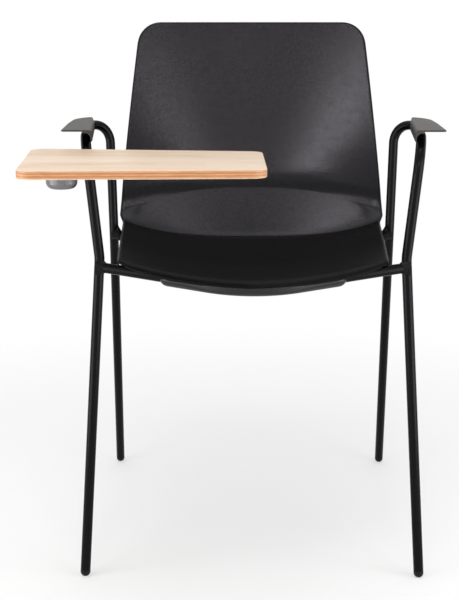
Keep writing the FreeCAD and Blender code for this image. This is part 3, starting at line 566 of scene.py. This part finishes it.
def build_lip(grid):
    """The moulded lip round the front crossbar, with rounded ends, up into the seat's wall."""
    skin = seat_skin(grid, LIP_ROWS)
    last = LIP_HALF - LIP_RADIUS
    ends = [math.radians(a) for a in LIP_END_ANGLES]
    stations = [(-last - LIP_RADIUS * math.sin(a), LIP_RADIUS * math.cos(a)) for a in reversed(ends)]
    stations += [(x, LIP_RADIUS) for x in np.linspace(-last, last, LIP_STATIONS)]
    stations += [(last + LIP_RADIUS * math.sin(a), LIP_RADIUS * math.cos(a)) for a in ends]
    centres = [bar_point(x) for x, _ in stations]
    outer = []
    inner = []
    for index, (centre, (_, radius)) in enumerate(zip(centres, stations)):
        ahead = centres[min(index + 1, len(centres) - 1)]
        behind = centres[max(index - 1, 0)]
        way = unit(ahead - behind)
        side = unit(np.cross(way, [0, 0, 1]))
        top = np.cross(side, way)
        outer += circle(centre, radius, side, top, LIP_SIDES)
        inner += circle(centre, TUBE_ROOM, side, top, LIP_SIDES)
    points = [lowered(skin, p) for p in outer + inner]
    count = len(outer)
    faces = grid_faces(len(stations), LIP_SIDES, 0, True)
    faces += grid_faces(len(stations), LIP_SIDES, count, True)
    for start in (0, count - LIP_SIDES):
        for k in range(LIP_SIDES):
            a, b = start + k, start + (k + 1) % LIP_SIDES
            faces.append((a, b, b + count, a + count))
    return points, faces


def build_bosses(grid):
    """The four rear bosses under the seat, flared where they meet it."""
    skin = seat_skin(grid, BOSS_ROWS)
    side, ahead = np.array([1.0, 0.0, 0.0]), np.array([0.0, 1.0, 0.0])
    points = []
    faces = []
    for x in (-BOSS_X, BOSS_X):
        for y in BOSS_YS:
            under = skin_above(skin, x, y).z - SHELL_WALL
            profile = [(radius, BOSS_FOOT + rise) for radius, rise in BOSS_LOW]
            profile += [(radius, under + rise) for radius, rise in BOSS_HIGH]
            rings = [circle(np.array([x, y, z]), r, side, ahead, BOSS_SIDES) for r, z in profile]
            boss_points, boss_faces = capped(rings)
            faces += [tuple(len(points) + i for i in face) for face in boss_faces]
            points += boss_points
    return points, faces


shell_surface, shell_points, shell_faces = build_shell()
shell = mesh_piece("shell_moulding", shell_points, shell_faces, "frame", "shell_black", ["seat_shell"])
lip = mesh_piece("shell_front_lip", *build_lip(shell_surface), "frame", "shell_black")
bosses = mesh_piece("shell_bosses", *build_bosses(shell_surface), "frame", "shell_black")

# Arm pads

# The pad's corners from above: depth, offset from the tube's line and corner radius
PAD_CORNERS = (
    (38.0, -10.5, 4.0),
    (38.0, 34.2, 6.0),
    (167.5, 27.9, 996.0),
    (248.0, 20.6, 92.0),
    (287.0, -6.6, 4.0),
    (237.0, -10.5, 20.0),
)
PAD_FRONT = PAD_CORNERS[0][0]
PAD_FRONT_STEPS = (0, 0.2, 0.6, 1.2, 2, 3.5, 5.5, 8, 12)
PAD_MIDDLE = np.linspace(58, 232, 24)
PAD_TAPER = (235, 237, 239, 243, 248, 253, 258, 262, 266, 269, 272, 274.5, 276.5, 278)
PAD_REAR_STEPS = (1.2, 0.7, 0.3, 0)
PAD_END_ROUND = 0.8
PAD_HARD_EDGE = 50

# The pad's section: a block over the tube, and a thin wing beyond it
PAD_BASE_Z, PAD_WING_Z, PAD_TOP_Z = 653.0, 667.1, 669.5
PAD_CROWN_FROM, PAD_CROWN_WIDTH = -6.5, 51.0
PAD_CROWN, PAD_FALL = 1.3, 0.2
PAD_BASE_ROUND = 0.8
PAD_INNER_ROUND = 4.6
PAD_TIP_ROUND = 0.9
PAD_FOOT_ROUND = 0.7
PAD_BLOCK = 3.0

# The room for the tube under the pad
CHANNEL_RADIUS = 8.2
CHANNEL_LOW_Z = 640.0
CHANNEL_ENDS = (24.0, 300.0)

ARM_Z = ARM_FRONT[2]
ARM_SLOPE = (ARM_REAR[0] - ARM_FRONT[0]) / (ARM_REAR[1] - ARM_FRONT[1])


def arm_x(y):
    """The arm tube's line at a depth."""
    return ARM_FRONT[0] + (y - ARM_FRONT[1]) * ARM_SLOPE


def outline_span(outline, y):
    """The lowest and highest x of an outline at a depth."""
    found = []
    for p, q in zip(outline, np.roll(outline, -1, axis=0)):
        if (p[1] - y) * (q[1] - y) <= 0 and abs(p[1] - q[1]) > 1e-9:
            t = (y - p[1]) / (q[1] - p[1])
            found.append(p[0] + (q[0] - p[0]) * t)
    return min(found), max(found)


def pad_top(offset):
    s = (offset - PAD_CROWN_FROM) / PAD_CROWN_WIDTH
    return PAD_TOP_Z - PAD_FALL * s + PAD_CROWN * s * (1 - s)


def pad_section(inner, outer):
    """The pad's section from its inner edge to its outer one, both as offsets from the tube's line."""
    span = outer - inner
    tip = min(PAD_TIP_ROUND, span / 5)
    ridge = min(PAD_INNER_ROUND, span / 3)
    foot = min(PAD_FOOT_ROUND, span / 6)
    block = min(PAD_BLOCK, mix(inner, outer, 0.7))
    ridge_x = inner + ridge
    ridge_z = pad_top(ridge_x) - ridge
    base = (inner + PAD_BASE_ROUND, PAD_BASE_Z + PAD_BASE_ROUND)
    points = [(base[0], PAD_BASE_Z), *arc_points(base, PAD_BASE_ROUND, 255, 180, 3)[1:]]
    points += [(inner, mix(PAD_BASE_Z + 1, ridge_z, share)) for share in (0.35, 0.7)]
    points += arc_points((ridge_x, ridge_z), ridge, 180, 90, 7)
    for share in (0.12, 0.25, 0.4, 0.55, 0.7, 0.85):
        offset = mix(ridge_x, outer - tip, share)
        points.append((offset, pad_top(offset)))
    points += arc_points((outer - tip, pad_top(outer - tip) - tip), tip, 88, 0, 5)
    points += arc_points((outer - foot, PAD_WING_Z + foot), foot, -10, -90, 4)
    points += [(mix(outer - foot, block + foot, share), PAD_WING_Z) for share in (0.3, 0.6, 0.85)]
    points.append((block, PAD_WING_Z - 0.1))
    points += [(block, mix(PAD_WING_Z, PAD_BASE_Z, share)) for share in (0.3, 0.6)]
    points.append((block, PAD_BASE_Z))
    return np.array(points)


def build_pad():
    """The right pad as sections from front to rear, drawn in at both ends to round their edges."""
    corners = [(arm_x(y) + offset, y) for y, offset, _ in PAD_CORNERS]
    outline = rounded_outline(corners, [radius for *_, radius in PAD_CORNERS], 14)
    rear = float(outline[:, 1].max())
    ys = [PAD_FRONT + step for step in PAD_FRONT_STEPS]
    ys += [*PAD_MIDDLE, *PAD_TAPER, *(rear - step for step in PAD_REAR_STEPS)]
    loops = []
    for y in ys:
        at = float(np.clip(y, PAD_FRONT + 0.02, rear - 0.25))
        inner, outer = outline_span(outline, at)
        loop = pad_section(inner - arm_x(at), outer - arm_x(at))
        edge = min(abs(y - PAD_FRONT), abs(y - rear), PAD_END_ROUND)
        inset = PAD_END_ROUND - math.sqrt(PAD_END_ROUND**2 - (PAD_END_ROUND - edge) ** 2)
        way = unit(np.roll(loop, -1, axis=0) - np.roll(loop, 1, axis=0))
        inward = np.stack([way[:, 1], -way[:, 0]], axis=1)
        loop = loop + inward * min(inset, (outer - inner) / 8)
        loops.append([np.array([arm_x(at) + p[0], y, p[1]]) for p in loop])
    return capped(loops)


def channel_body():
    """The room for the tube under the pad: round above, straight and open below."""
    loop = [(-CHANNEL_RADIUS - 0.1, CHANNEL_LOW_Z), (-CHANNEL_RADIUS, ARM_Z)]
    loop += arc_points((0.0, ARM_Z), CHANNEL_RADIUS, 180, 90, 17)[1:]
    loop += [(CHANNEL_RADIUS - 0.2, ARM_Z + CHANNEL_RADIUS), (CHANNEL_RADIUS - 0.2, CHANNEL_LOW_Z)]
    return capped([[np.array([arm_x(y) + x, y, z]) for x, z in loop] for y in CHANNEL_ENDS])


def arm_tube_body():
    """The arm's tube with its bends, a little past both ends of the pad, for cutting."""
    corners = (FRONT_KNEE, ARM_FRONT, ARM_REAR, ARM_END, REAR_KNEE)
    line = [mix(FRONT_KNEE, ARM_FRONT, 0.5)]
    for before, corner, after, radius in zip(corners, corners[1:], corners[2:], ARM_BENDS):
        line += corner_arc(before, corner, after, radius, 12)
    line.append(mix(ARM_END, REAR_KNEE, 0.6))
    rings = []
    side = np.array([1.0, 0.0, 0.0])
    for i, centre in enumerate(line):
        way = unit(line[min(i + 1, len(line) - 1)] - line[max(i - 1, 0)])
        side = unit(side - way * (side @ way))
        rings.append(circle(centre, TUBE_ROOM, side, np.cross(way, side), 48))
    return capped(rings)


def cut_by(piece, cutter):
    """Takes the cutter's body out of the piece, then removes the cutter."""
    modifier = piece.modifiers.new("cut", "BOOLEAN")
    modifier.operation = "DIFFERENCE"
    modifier.solver = "EXACT"
    modifier.object = cutter
    graph = bpy.context.evaluated_depsgraph_get()
    baked = bpy.data.meshes.new_from_object(piece.evaluated_get(graph))
    piece.modifiers.clear()
    piece.data = baked
    bpy.data.objects.remove(cutter)


def sharpen(piece, degrees):
    """Smooth shading with hard edges above an angle."""
    piece.data.polygons.foreach_set("use_smooth", [True] * len(piece.data.polygons))
    work = bmesh.new()
    work.from_mesh(piece.data)
    limit = math.radians(degrees)
    for edge in work.edges:
        edge.smooth = len(edge.link_faces) == 2 and edge.calc_face_angle(0) < limit
    work.to_mesh(piece.data)
    work.free()


def make_pad(name, side, node):
    """The pad of one side, with the tube's room cut out of it; side is 1 or -1."""
    flip = np.array([side, 1, 1])
    points, faces = build_pad()
    pad = mesh_piece(name, [p * flip for p in points], faces, "frame", "pad_grey", [node])
    for points, faces in (arm_tube_body(), channel_body()):
        cut_by(pad, mesh_object("cutter", [p * flip for p in points], faces))
    sharpen(pad, PAD_HARD_EDGE)
    return pad


pad_right = make_pad("arm_pad_right_moulding", 1, "arm_pad_right")
pad_left = make_pad("arm_pad_left_moulding", -1, "arm_pad_left")

# Writing tablet

HUB = np.array([-261.251, -58.970])
# The tablet's corners in counterclockwise order, measured from the hub's axis
BOARD_CORNERS = ((-29.0, -185.0), (276.0, -168.0), (273.0, 46.0), (-53.5, 81.5))
BOARD_CORNER_RADIUS = 20.0
BOARD_TOP, BOARD_BOTTOM = 645.0, 634.0
BOARD_EDGE_ROUND = 1.3
BOARD_HARD_EDGE = 60


def inset_polygon(corners, inset):
    """A counterclockwise polygon whose sides are moved inwards."""
    count = len(corners)
    lines = []
    for i in range(count):
        way = unit(corners[(i + 1) % count] - corners[i])
        lines.append((corners[i] + np.array([-way[1], way[0]]) * inset, way))
    out = []
    for i in range(count):
        p, a = lines[i - 1]
        q, b = lines[i]
        t = np.linalg.solve(np.array([a, -b]).T, q - p)[0]
        out.append(p + a * t)
    return out


def build_board():
    """The tablet with its rounded edges, as rings from its underside up."""
    corners = [HUB + np.array(corner) for corner in BOARD_CORNERS]
    high = []
    for turn in np.radians((0, 22.5, 45, 67.5, 90)):
        inset = BOARD_EDGE_ROUND * (1 - math.cos(turn))
        high.append((inset, BOARD_TOP - BOARD_EDGE_ROUND * (1 - math.sin(turn))))
    low = [(inset, BOARD_TOP + BOARD_BOTTOM - z) for inset, z in reversed(high)]
    middle = [(0.0, mix(BOARD_BOTTOM, BOARD_TOP, share)) for share in (0.3, 0.5, 0.7)]
    rings = []
    for inset, z in low + middle + high:
        radii = [BOARD_CORNER_RADIUS - inset] * len(corners)
        outline = rounded_outline(inset_polygon(corners, inset), radii, 16)
        rings.append([np.array([p[0], p[1], z]) for p in outline])
    return capped(rings)


board = mesh_piece("tablet_plywood", *build_board(), "tablet", "plywood_beech", ["tablet_board"])
sharpen(board, BOARD_HARD_EDGE)

# Materials

# The black surfaces mirror a little less green than red and blue
MIRROR_TINT = (0.97, 0.91, 1.0, 1.0)
# Between these places in depth the shell turns from the duller seat to the satin back
SATIN_FROM_TO = (0.2, 0.222)
WHITE = (1.0, 1.0, 1.0, 1.0)


def linear(red, green, blue):
    """A colour written as 0 to 255 steps of a picture, in the shader's linear values."""
    out = []
    for value in (red, green, blue):
        share = value / 255
        out.append(share / 12.92 if share <= 0.04045 else ((share + 0.055) / 1.055) ** 2.4)
    return (*out, 1.0)


def grey(value, warm=0.0):
    return (value * (1 + warm), value, value * (1 - warm), 1.0)


class Nodes:
    """A node tree with short calls for what the materials and the world share."""

    def __init__(self, tree):
        self.tree = tree

    def add(self, kind, **settings):
        node = self.tree.nodes.new(kind)
        for key, value in settings.items():
            setattr(node, key, value)
        return node

    def link(self, start, end):
        self.tree.links.new(start, end)

    def fill(self, socket, value):
        """Sets a socket to a number or colour, or links it to an output."""
        if isinstance(value, (int, float, tuple)):
            socket.default_value = value
        else:
            self.link(value, socket)

    def math(self, operation, first, second):
        node = self.add("ShaderNodeMath", operation=operation)
        self.fill(node.inputs[0], first)
        self.fill(node.inputs[1], second)
        return node.outputs[0]

    def spread(self, source, before, after, kind="LINEAR"):
        """A value's range brought to another one, and held within it."""
        node = self.add("ShaderNodeMapRange", interpolation_type=kind)
        for label, value in zip(("From Min", "From Max", "To Min", "To Max"), (*before, *after)):
            node.inputs[label].default_value = value
        self.link(source, node.inputs["Value"])
        return node.outputs["Result"]

    def seen(self):
        """1 for what the eye, a mirror or glass sees, and 0 for the light on the object."""
        ray = self.add("ShaderNodeLightPath").outputs
        direct = self.math("MAXIMUM", ray["Is Camera Ray"], ray["Is Glossy Ray"])
        return self.math("MAXIMUM", direct, ray["Is Transmission Ray"])


class Look(Nodes):
    """A material with its principled shader and object coordinates, in metres."""

    def __init__(self, name, color, roughness, metallic=0.0, specular=0.5, ior=1.5):
        self.material = bpy.data.materials.new(name)
        self.material.use_nodes = True
        super().__init__(self.material.node_tree)
        self.shader = self.tree.nodes["Principled BSDF"]
        self.shader.inputs["Base Color"].default_value = color
        self.shader.inputs["Roughness"].default_value = roughness
        self.shader.inputs["Metallic"].default_value = metallic
        self.shader.inputs["Specular IOR Level"].default_value = specular
        self.shader.inputs["IOR"].default_value = ior
        self.coordinates = self.add("ShaderNodeTexCoord").outputs["Object"]

    def tint_mirror(self):
        self.shader.inputs["Specular Tint"].default_value = MIRROR_TINT

    def axis(self, name):
        """One of the object coordinates."""
        split = self.add("ShaderNodeSeparateXYZ")
        self.link(self.coordinates, split.inputs[0])
        return split.outputs[name]

    def scaled(self, x, y, z):
        """Object coordinates stretched per axis."""
        node = self.add("ShaderNodeMapping")
        node.inputs["Scale"].default_value = (x, y, z)
        self.link(self.coordinates, node.inputs["Vector"])
        return node.outputs["Vector"]

    def noise(self, scale, detail=3.0, rough=0.5, source=None, distortion=0.0):
        node = self.add("ShaderNodeTexNoise")
        node.inputs["Scale"].default_value = scale
        node.inputs["Detail"].default_value = detail
        node.inputs["Roughness"].default_value = rough
        node.inputs["Distortion"].default_value = distortion
        self.link(source or self.coordinates, node.inputs["Vector"])
        return node.outputs["Fac"]

    def cells(self, scale, source=None):
        node = self.add("ShaderNodeTexVoronoi")
        node.inputs["Scale"].default_value = scale
        self.link(source or self.coordinates, node.inputs["Vector"])
        return node.outputs["Distance"]

    def ramp(self, source, stops, kind="EASE"):
        node = self.add("ShaderNodeValToRGB")
        node.color_ramp.interpolation = kind
        elements = node.color_ramp.elements
        while len(elements) < len(stops):
            elements.new(0.5)
        for element, (position, color) in zip(elements, stops):
            element.position = position
            element.color = color
        self.link(source, node.inputs["Fac"])
        return node.outputs["Color"]

    def blend(self, factor, first, second, mode="MIX"):
        node = self.add("ShaderNodeMix", data_type="RGBA", blend_type=mode)
        for index, value in ((0, factor), (6, first), (7, second)):
            self.fill(node.inputs[index], value)
        return node.outputs[2]

    def color(self, source):
        self.link(source, self.shader.inputs["Base Color"])

    def mottle(self, scale, detail, dark, light, low=0.3):
        """Lets the base colour drift between two colours in soft patches."""
        self.color(self.ramp(self.noise(scale, detail), [(low, dark), (1 - low, light)]))

    def roughness(self, source, low, high):
        self.link(self.spread(source, (0, 1), (low, high)), self.shader.inputs["Roughness"])

    def bump(self, source, strength, distance, below=None):
        node = self.add("ShaderNodeBump")
        node.inputs["Strength"].default_value = strength
        node.inputs["Distance"].default_value = distance
        self.link(source, node.inputs["Height"])
        if below is not None:
            self.link(below, node.inputs["Normal"])
        self.link(node.outputs["Normal"], self.shader.inputs["Normal"])
        return node.outputs["Normal"]


def powder_coat(name, level, roughness, ripple=0.0):
    """Fine orange-peel paint, with coarser ripples over a weld or a casting."""
    look = Look(name, grey(level), roughness, ior=1.22)
    look.tint_mirror()
    look.mottle(16, 3, grey(level * 0.86), grey(level * 1.14))
    look.roughness(look.noise(260, 2), roughness - 0.05, roughness + 0.07)
    first = look.bump(look.noise(1500, 2), 0.05, 0.0001)
    if ripple:
        look.bump(look.noise(420, 3, 0.6), ripple, 0.0006, first)
    return look.material


def moulded(name, level, roughness, grain, strength, warm=0.0, ior=1.5):
    """Moulded plastic with a fine spark-eroded grain."""
    look = Look(name, grey(level, warm), roughness, specular=0.4, ior=ior)
    look.mottle(7, 3, grey(level * 0.9, warm), grey(level * 1.1, warm))
    look.roughness(look.noise(90, 2), roughness - 0.03, roughness + 0.05)
    first = look.bump(look.cells(grain), strength, 0.00012)
    look.bump(look.noise(grain * 0.35, 3, 0.6), strength * 0.7, 0.0002, first)
    return look.material


def moulded_shell():
    """The shell's black plastic: a satin back and a more finely grained, duller seat."""
    look = Look("moulded_black", grey(0.002), 0.2, ior=1.28)
    look.tint_mirror()
    look.mottle(7, 3, grey(0.0018), grey(0.0022))
    depth = look.axis("Y")
    dull = look.spread(depth, SATIN_FROM_TO, (0.44, 0.15), "SMOOTHSTEP")
    uneven = look.math("MULTIPLY", look.noise(90, 2), 0.05)
    look.link(look.math("ADD", dull, uneven), look.shader.inputs["Roughness"])
    gloss = look.spread(depth, SATIN_FROM_TO, (0.22, 0.5))
    fleck = look.spread(look.noise(420, 3, 0.7), (0.3, 0.7), (0.66, 1.34))
    look.link(look.math("MULTIPLY", gloss, fleck), look.shader.inputs["Specular IOR Level"])
    first = look.bump(look.cells(1900), 0.05, 0.00012)
    look.bump(look.noise(480, 4, 0.7), 0.07, 0.0003, first)
    return look.material


def turned_metal(name, level, roughness, warm=0.0):
    """Bright metal with fine lines from turning."""
    look = Look(name, grey(level, warm), roughness, metallic=1.0)
    look.mottle(120, 2, grey(level * 0.85, warm), grey(level * 1.1, warm))
    lines = look.noise(900, 2, 0.5, look.scaled(0.2, 1, 1))
    look.roughness(lines, roughness - 0.06, roughness + 0.1)
    look.bump(lines, 0.1, 0.0001)
    return look.material


def turned_brass():
    look = Look("turned_brass", (0.72, 0.52, 0.24, 1), 0.32, metallic=1.0)
    look.mottle(80, 2, (0.6, 0.42, 0.18, 1), (0.78, 0.57, 0.28, 1))
    look.roughness(look.noise(500, 2), 0.26, 0.42)
    return look.material


def cast_metal(name, level):
    """Satin die casting with a faint blue tint."""
    color = (level * 0.96, level * 0.97, level * 1.04, 1.0)
    dark = (level * 0.8, level * 0.81, level * 0.88, 1.0)
    look = Look(name, color, 0.36, metallic=0.45)
    look.mottle(70, 3, dark, color, 0.32)
    look.roughness(look.noise(240, 3), 0.3, 0.46)
    first = look.bump(look.noise(900, 2), 0.16, 0.0002)
    look.bump(look.noise(110, 2), 0.35, 0.0012, first)
    return look.material


def veneer():
    """Pale lacquered beech: fine lengthwise grain, soft bands and small dark flecks."""
    look = Look("beech_veneer", linear(240, 220, 196), 0.46, ior=1.42)
    bands = look.noise(5, 3, 0.5, look.scaled(0.5, 3.2, 1), 0.6)
    tones = [(0.3, linear(228, 200, 170)), (0.52, linear(240, 219, 195)), (0.72, linear(247, 230, 213))]
    grain = look.noise(34, 4, 0.6, look.scaled(1, 16, 4), 0.4)
    lines = look.ramp(grain, [(0.36, linear(222, 190, 158)), (0.6, WHITE)])
    color = look.blend(0.32, look.ramp(bands, tones), lines, "MULTIPLY")
    flecks = look.cells(120, look.scaled(0.9, 7.5, 4))
    mask = look.ramp(flecks, [(0.06, grey(1.0)), (0.14, grey(0.0))])
    look.color(look.blend(look.math("MULTIPLY", mask, 0.35), color, linear(196, 150, 112)))
    look.roughness(grain, 0.4, 0.5)
    look.bump(grain, 0.08, 0.0003)
    return look.material


def plies():
    """The tablet's edge: seven plies, light, middle and dark by the way of their grain."""
    look = Look("beech_edge", linear(220, 168, 124), 0.42)
    wobble = look.math("MULTIPLY", look.math("SUBTRACT", look.noise(22, 2), 0.5), 0.0006)
    height = look.math("ADD", look.axis("Z"), wobble)
    share = look.spread(height, (BOARD_BOTTOM / 1000, BOARD_TOP / 1000), (0, 1))
    light, middle, dark = linear(230, 198, 162), linear(205, 153, 110), linear(178, 120, 78)
    stops = [(0.0, light), (0.075, light), (0.1, dark)]
    for begin, end, tone in (
        (0.13, 0.24, middle),
        (0.28, 0.4, dark),
        (0.43, 0.57, middle),
        (0.6, 0.72, dark),
        (0.75, 0.87, middle),
    ):
        stops += [(begin, tone), (end, tone)]
    stops += [(0.9, dark), (0.925, light), (1.0, light)]
    color = look.ramp(share, stops, "LINEAR")
    streak = look.noise(60, 4, 0.65, look.scaled(1, 1, 9), 0.3)
    tone = look.ramp(streak, [(0.3, linear(214, 168, 130)), (0.6, WHITE)])
    look.color(look.blend(0.4, color, tone, "MULTIPLY"))
    look.roughness(streak, 0.36, 0.52)
    look.bump(look.noise(700, 2, 0.5, look.scaled(0.4, 0.4, 4)), 0.12, 0.0002)
    return look.material


shell_look = moulded_shell()
lip_look = moulded("moulded_black_lip", 0.006, 0.32, 1900, 0.05, ior=1.48)
tube_look = powder_coat("powder_black", 0.002, 0.2)
weld_look = powder_coat("powder_weld", 0.006, 0.36, 0.35)
pad_look = moulded("moulded_grey", 0.04, 0.5, 700, 0.55, 0.12, ior=1.4)
glide_look = moulded("nylon_black", 0.005, 0.42, 1400, 0.2, ior=1.3)
black_metal = powder_coat("black_oxide", 0.02, 0.4)
zinc = turned_metal("zinc_plate", 0.62, 0.34, 0.01)
steel = turned_metal("bright_steel", 0.56, 0.28)
brass = turned_brass()
bush_look = moulded("bearing_white", 0.62, 0.45, 1200, 0.15, 0.03)
disc_look = moulded("friction_black", 0.05, 0.55, 1200, 0.2)
hub_look = cast_metal("cast_grey_satin", 0.17)
cast_dark = powder_coat("cast_dark_coat", 0.03, 0.4, 0.12)
veneer_look = veneer()
ply_look = plies()


def dress(material, *names):
    """Gives all slots of these nodes one material."""
    for name in names:
        data = nodes[name].data
        if not data.materials:
            data.materials.append(material)
        for index in range(len(data.materials)):
            data.materials[index] = material


dress(tube_look, "side_frame_right", "side_frame_left", "front_crossbar", "rear_crossbar", "shell_mount_tabs")
dress(weld_look, "weld_beads")
dress(glide_look, "foot_glide_front_right", "foot_glide_front_left")
dress(glide_look, "foot_glide_rear_right", "foot_glide_rear_left")
dress(shell_look, "seat_shell")
dress(pad_look, "arm_pad_right", "arm_pad_left")
dress(black_metal, "arm_pad_screws", "clamp_screws", "bar_set_screw", "tablet_plate")
dress(zinc, "shell_screws", "tablet_screws")
dress(steel, "tablet_bar", "lift_stop_pin", "swivel_spindle", "spring_washer")
dress(brass, "shell_inserts")
dress(bush_look, "bar_bushes")
dress(disc_look, "friction_disc")
dress(hub_look, "hub_base")
dress(cast_dark, "tablet_clamp_outer", "tablet_clamp_inner")
dress(veneer_look, "tablet_board")

for piece, looks in (
    (shell, [shell_look]),
    (lip, [lip_look]),
    (bosses, [lip_look]),
    (pad_right, [pad_look]),
    (pad_left, [pad_look]),
    (board, [veneer_look, ply_look]),
):
    piece.data.materials.clear()
    for look in looks:
        piece.data.materials.append(look)
for polygon in board.data.polygons:
    polygon.material_index = 0 if abs(polygon.normal.z) > 0.8 else 1

# Floor, light and camera

FLOOR_HALF = 14.0
FLOOR_Z = -0.0004
# The floor takes light and shadow near the chair, and is plain white farther off
FLOOR_FADE = (0.5, 1.5)
FLOOR_NEAR_WHITE = 0.45
WORLD_LIGHT = 0.56

# Lamps: name, place, the point that it faces, width, height and brightness
CHAIR_MIDDLE = (0, 0.3, 0.65)
SEAT_REAR = (0, 0.24, 0.52)
LAMPS = (
    ("front_left_strip", (-0.44, -4.2, 2.15), CHAIR_MIDDLE, 0.34, 0.5, 21.0),
    ("front_right_strip", (0.47, -4.2, 2.15), CHAIR_MIDDLE, 0.32, 0.5, 10.0),
    ("front_upper_left", (-0.75, -4.2, 3.1), CHAIR_MIDDLE, 0.4, 0.7, 1.6),
    ("front_upper_right", (0.75, -4.2, 3.1), CHAIR_MIDDLE, 0.5, 0.7, 3.0),
    ("high_left_strip", (-0.42, -1.5, 4.5), SEAT_REAR, 0.6, 1.2, 6.6),
    ("high_right_strip", (0.44, -1.5, 4.5), SEAT_REAR, 0.55, 1.2, 3.2),
    ("high_side_left", (-1.0, -0.8, 4.5), SEAT_REAR, 0.6, 1.0, 4.0),
    ("high_side_right", (1.0, -0.9, 4.5), SEAT_REAR, 0.6, 1.0, 2.4),
    ("overhead", (0, 0.4, 3.2), (0, 0.1, 0.6), 1.8, 1.2, 1.5),
    ("side_left", (-1.3, -0.6, 0.5), (0, -0.1, 0.5), 0.5, 1.0, 4.6),
    ("quarter_left", (-1.2, -1.3, 0.62), (0, 0, 0.56), 0.4, 1.2, 3.8),
    ("side_right", (1.3, -0.6, 0.5), (0, -0.1, 0.5), 0.5, 1.0, 4.6),
    ("quarter_right", (1.2, -1.3, 0.62), (0, 0, 0.56), 0.4, 1.2, 3.8),
)

# The camera, in millimetres like the chair, with its angles in degrees
CAMERA_PLACE = (-18.0, -1680.2, 819.4)
CAMERA_PITCH, CAMERA_TURN = 76.96, 0.54
CAMERA_LENS, SENSOR_WIDTH = 71.973, 36.0


def make_floor():
    """A white floor with a faint shadow under the chair."""
    mesh = bpy.data.meshes.new("floor")
    corners = ((-1, -1), (1, -1), (1, 1), (-1, 1))
    mesh.from_pydata([(x * FLOOR_HALF, y * FLOOR_HALF, FLOOR_Z) for x, y in corners], [], [(0, 1, 2, 3)])
    floor = bpy.data.objects.new("floor", mesh)
    bpy.context.scene.collection.objects.link(floor)
    look = Look("pale_floor", (0.93, 0.93, 0.93, 1), 0.9, specular=0.1)
    distance = look.add("ShaderNodeVectorMath", operation="LENGTH")
    look.link(look.coordinates, distance.inputs[0])
    far = look.spread(distance.outputs["Value"], FLOOR_FADE, (FLOOR_NEAR_WHITE, 1), "SMOOTHSTEP")
    white = look.add("ShaderNodeEmission")
    white.inputs["Strength"].default_value = 1.0
    mixed = look.add("ShaderNodeMixShader")
    look.link(look.math("MULTIPLY", far, look.seen()), mixed.inputs[0])
    look.link(look.shader.outputs[0], mixed.inputs[1])
    look.link(white.outputs[0], mixed.inputs[2])
    look.link(mixed.outputs[0], look.tree.nodes["Material Output"].inputs["Surface"])
    mesh.materials.append(look.material)


def make_world():
    """White surroundings, dimmer as light on the object than as seen."""
    world = bpy.data.worlds.new("studio")
    bpy.context.scene.world = world
    world.use_nodes = True
    studio = Nodes(world.node_tree)
    background = studio.tree.nodes["Background"]
    background.inputs["Color"].default_value = WHITE
    level = studio.spread(studio.seen(), (0, 1), (WORLD_LIGHT, 1))
    studio.link(level, background.inputs["Strength"])


def softbox(name, place, target, width, height, radiance):
    """A rectangular lamp of one brightness, aimed at a point."""
    data = bpy.data.lights.new(name, "AREA")
    data.shape = "RECTANGLE"
    data.size = width
    data.size_y = height
    data.energy = radiance * math.pi * width * height
    lamp = bpy.data.objects.new(name, data)
    bpy.context.scene.collection.objects.link(lamp)
    lamp.location = place
    lamp.rotation_mode = "QUATERNION"
    lamp.rotation_quaternion = (Vector(target) - Vector(place)).to_track_quat("-Z", "Y")


def make_camera():
    """The photograph's place, in front of the chair and level with the top of its back."""
    data = bpy.data.cameras.new("camera")
    data.lens = CAMERA_LENS
    data.sensor_width = SENSOR_WIDTH
    data.clip_end = 100
    camera = bpy.data.objects.new("camera", data)
    bpy.context.scene.collection.objects.link(camera)
    camera.location = placed(CAMERA_PLACE)
    camera.rotation_euler = (math.radians(CAMERA_PITCH), 0.0, math.radians(CAMERA_TURN))
    bpy.context.scene.camera = camera


make_floor()
make_world()
for lamp in LAMPS:
    softbox(*lamp)
make_camera()
bpy.context.scene.view_settings.view_transform = "Standard"
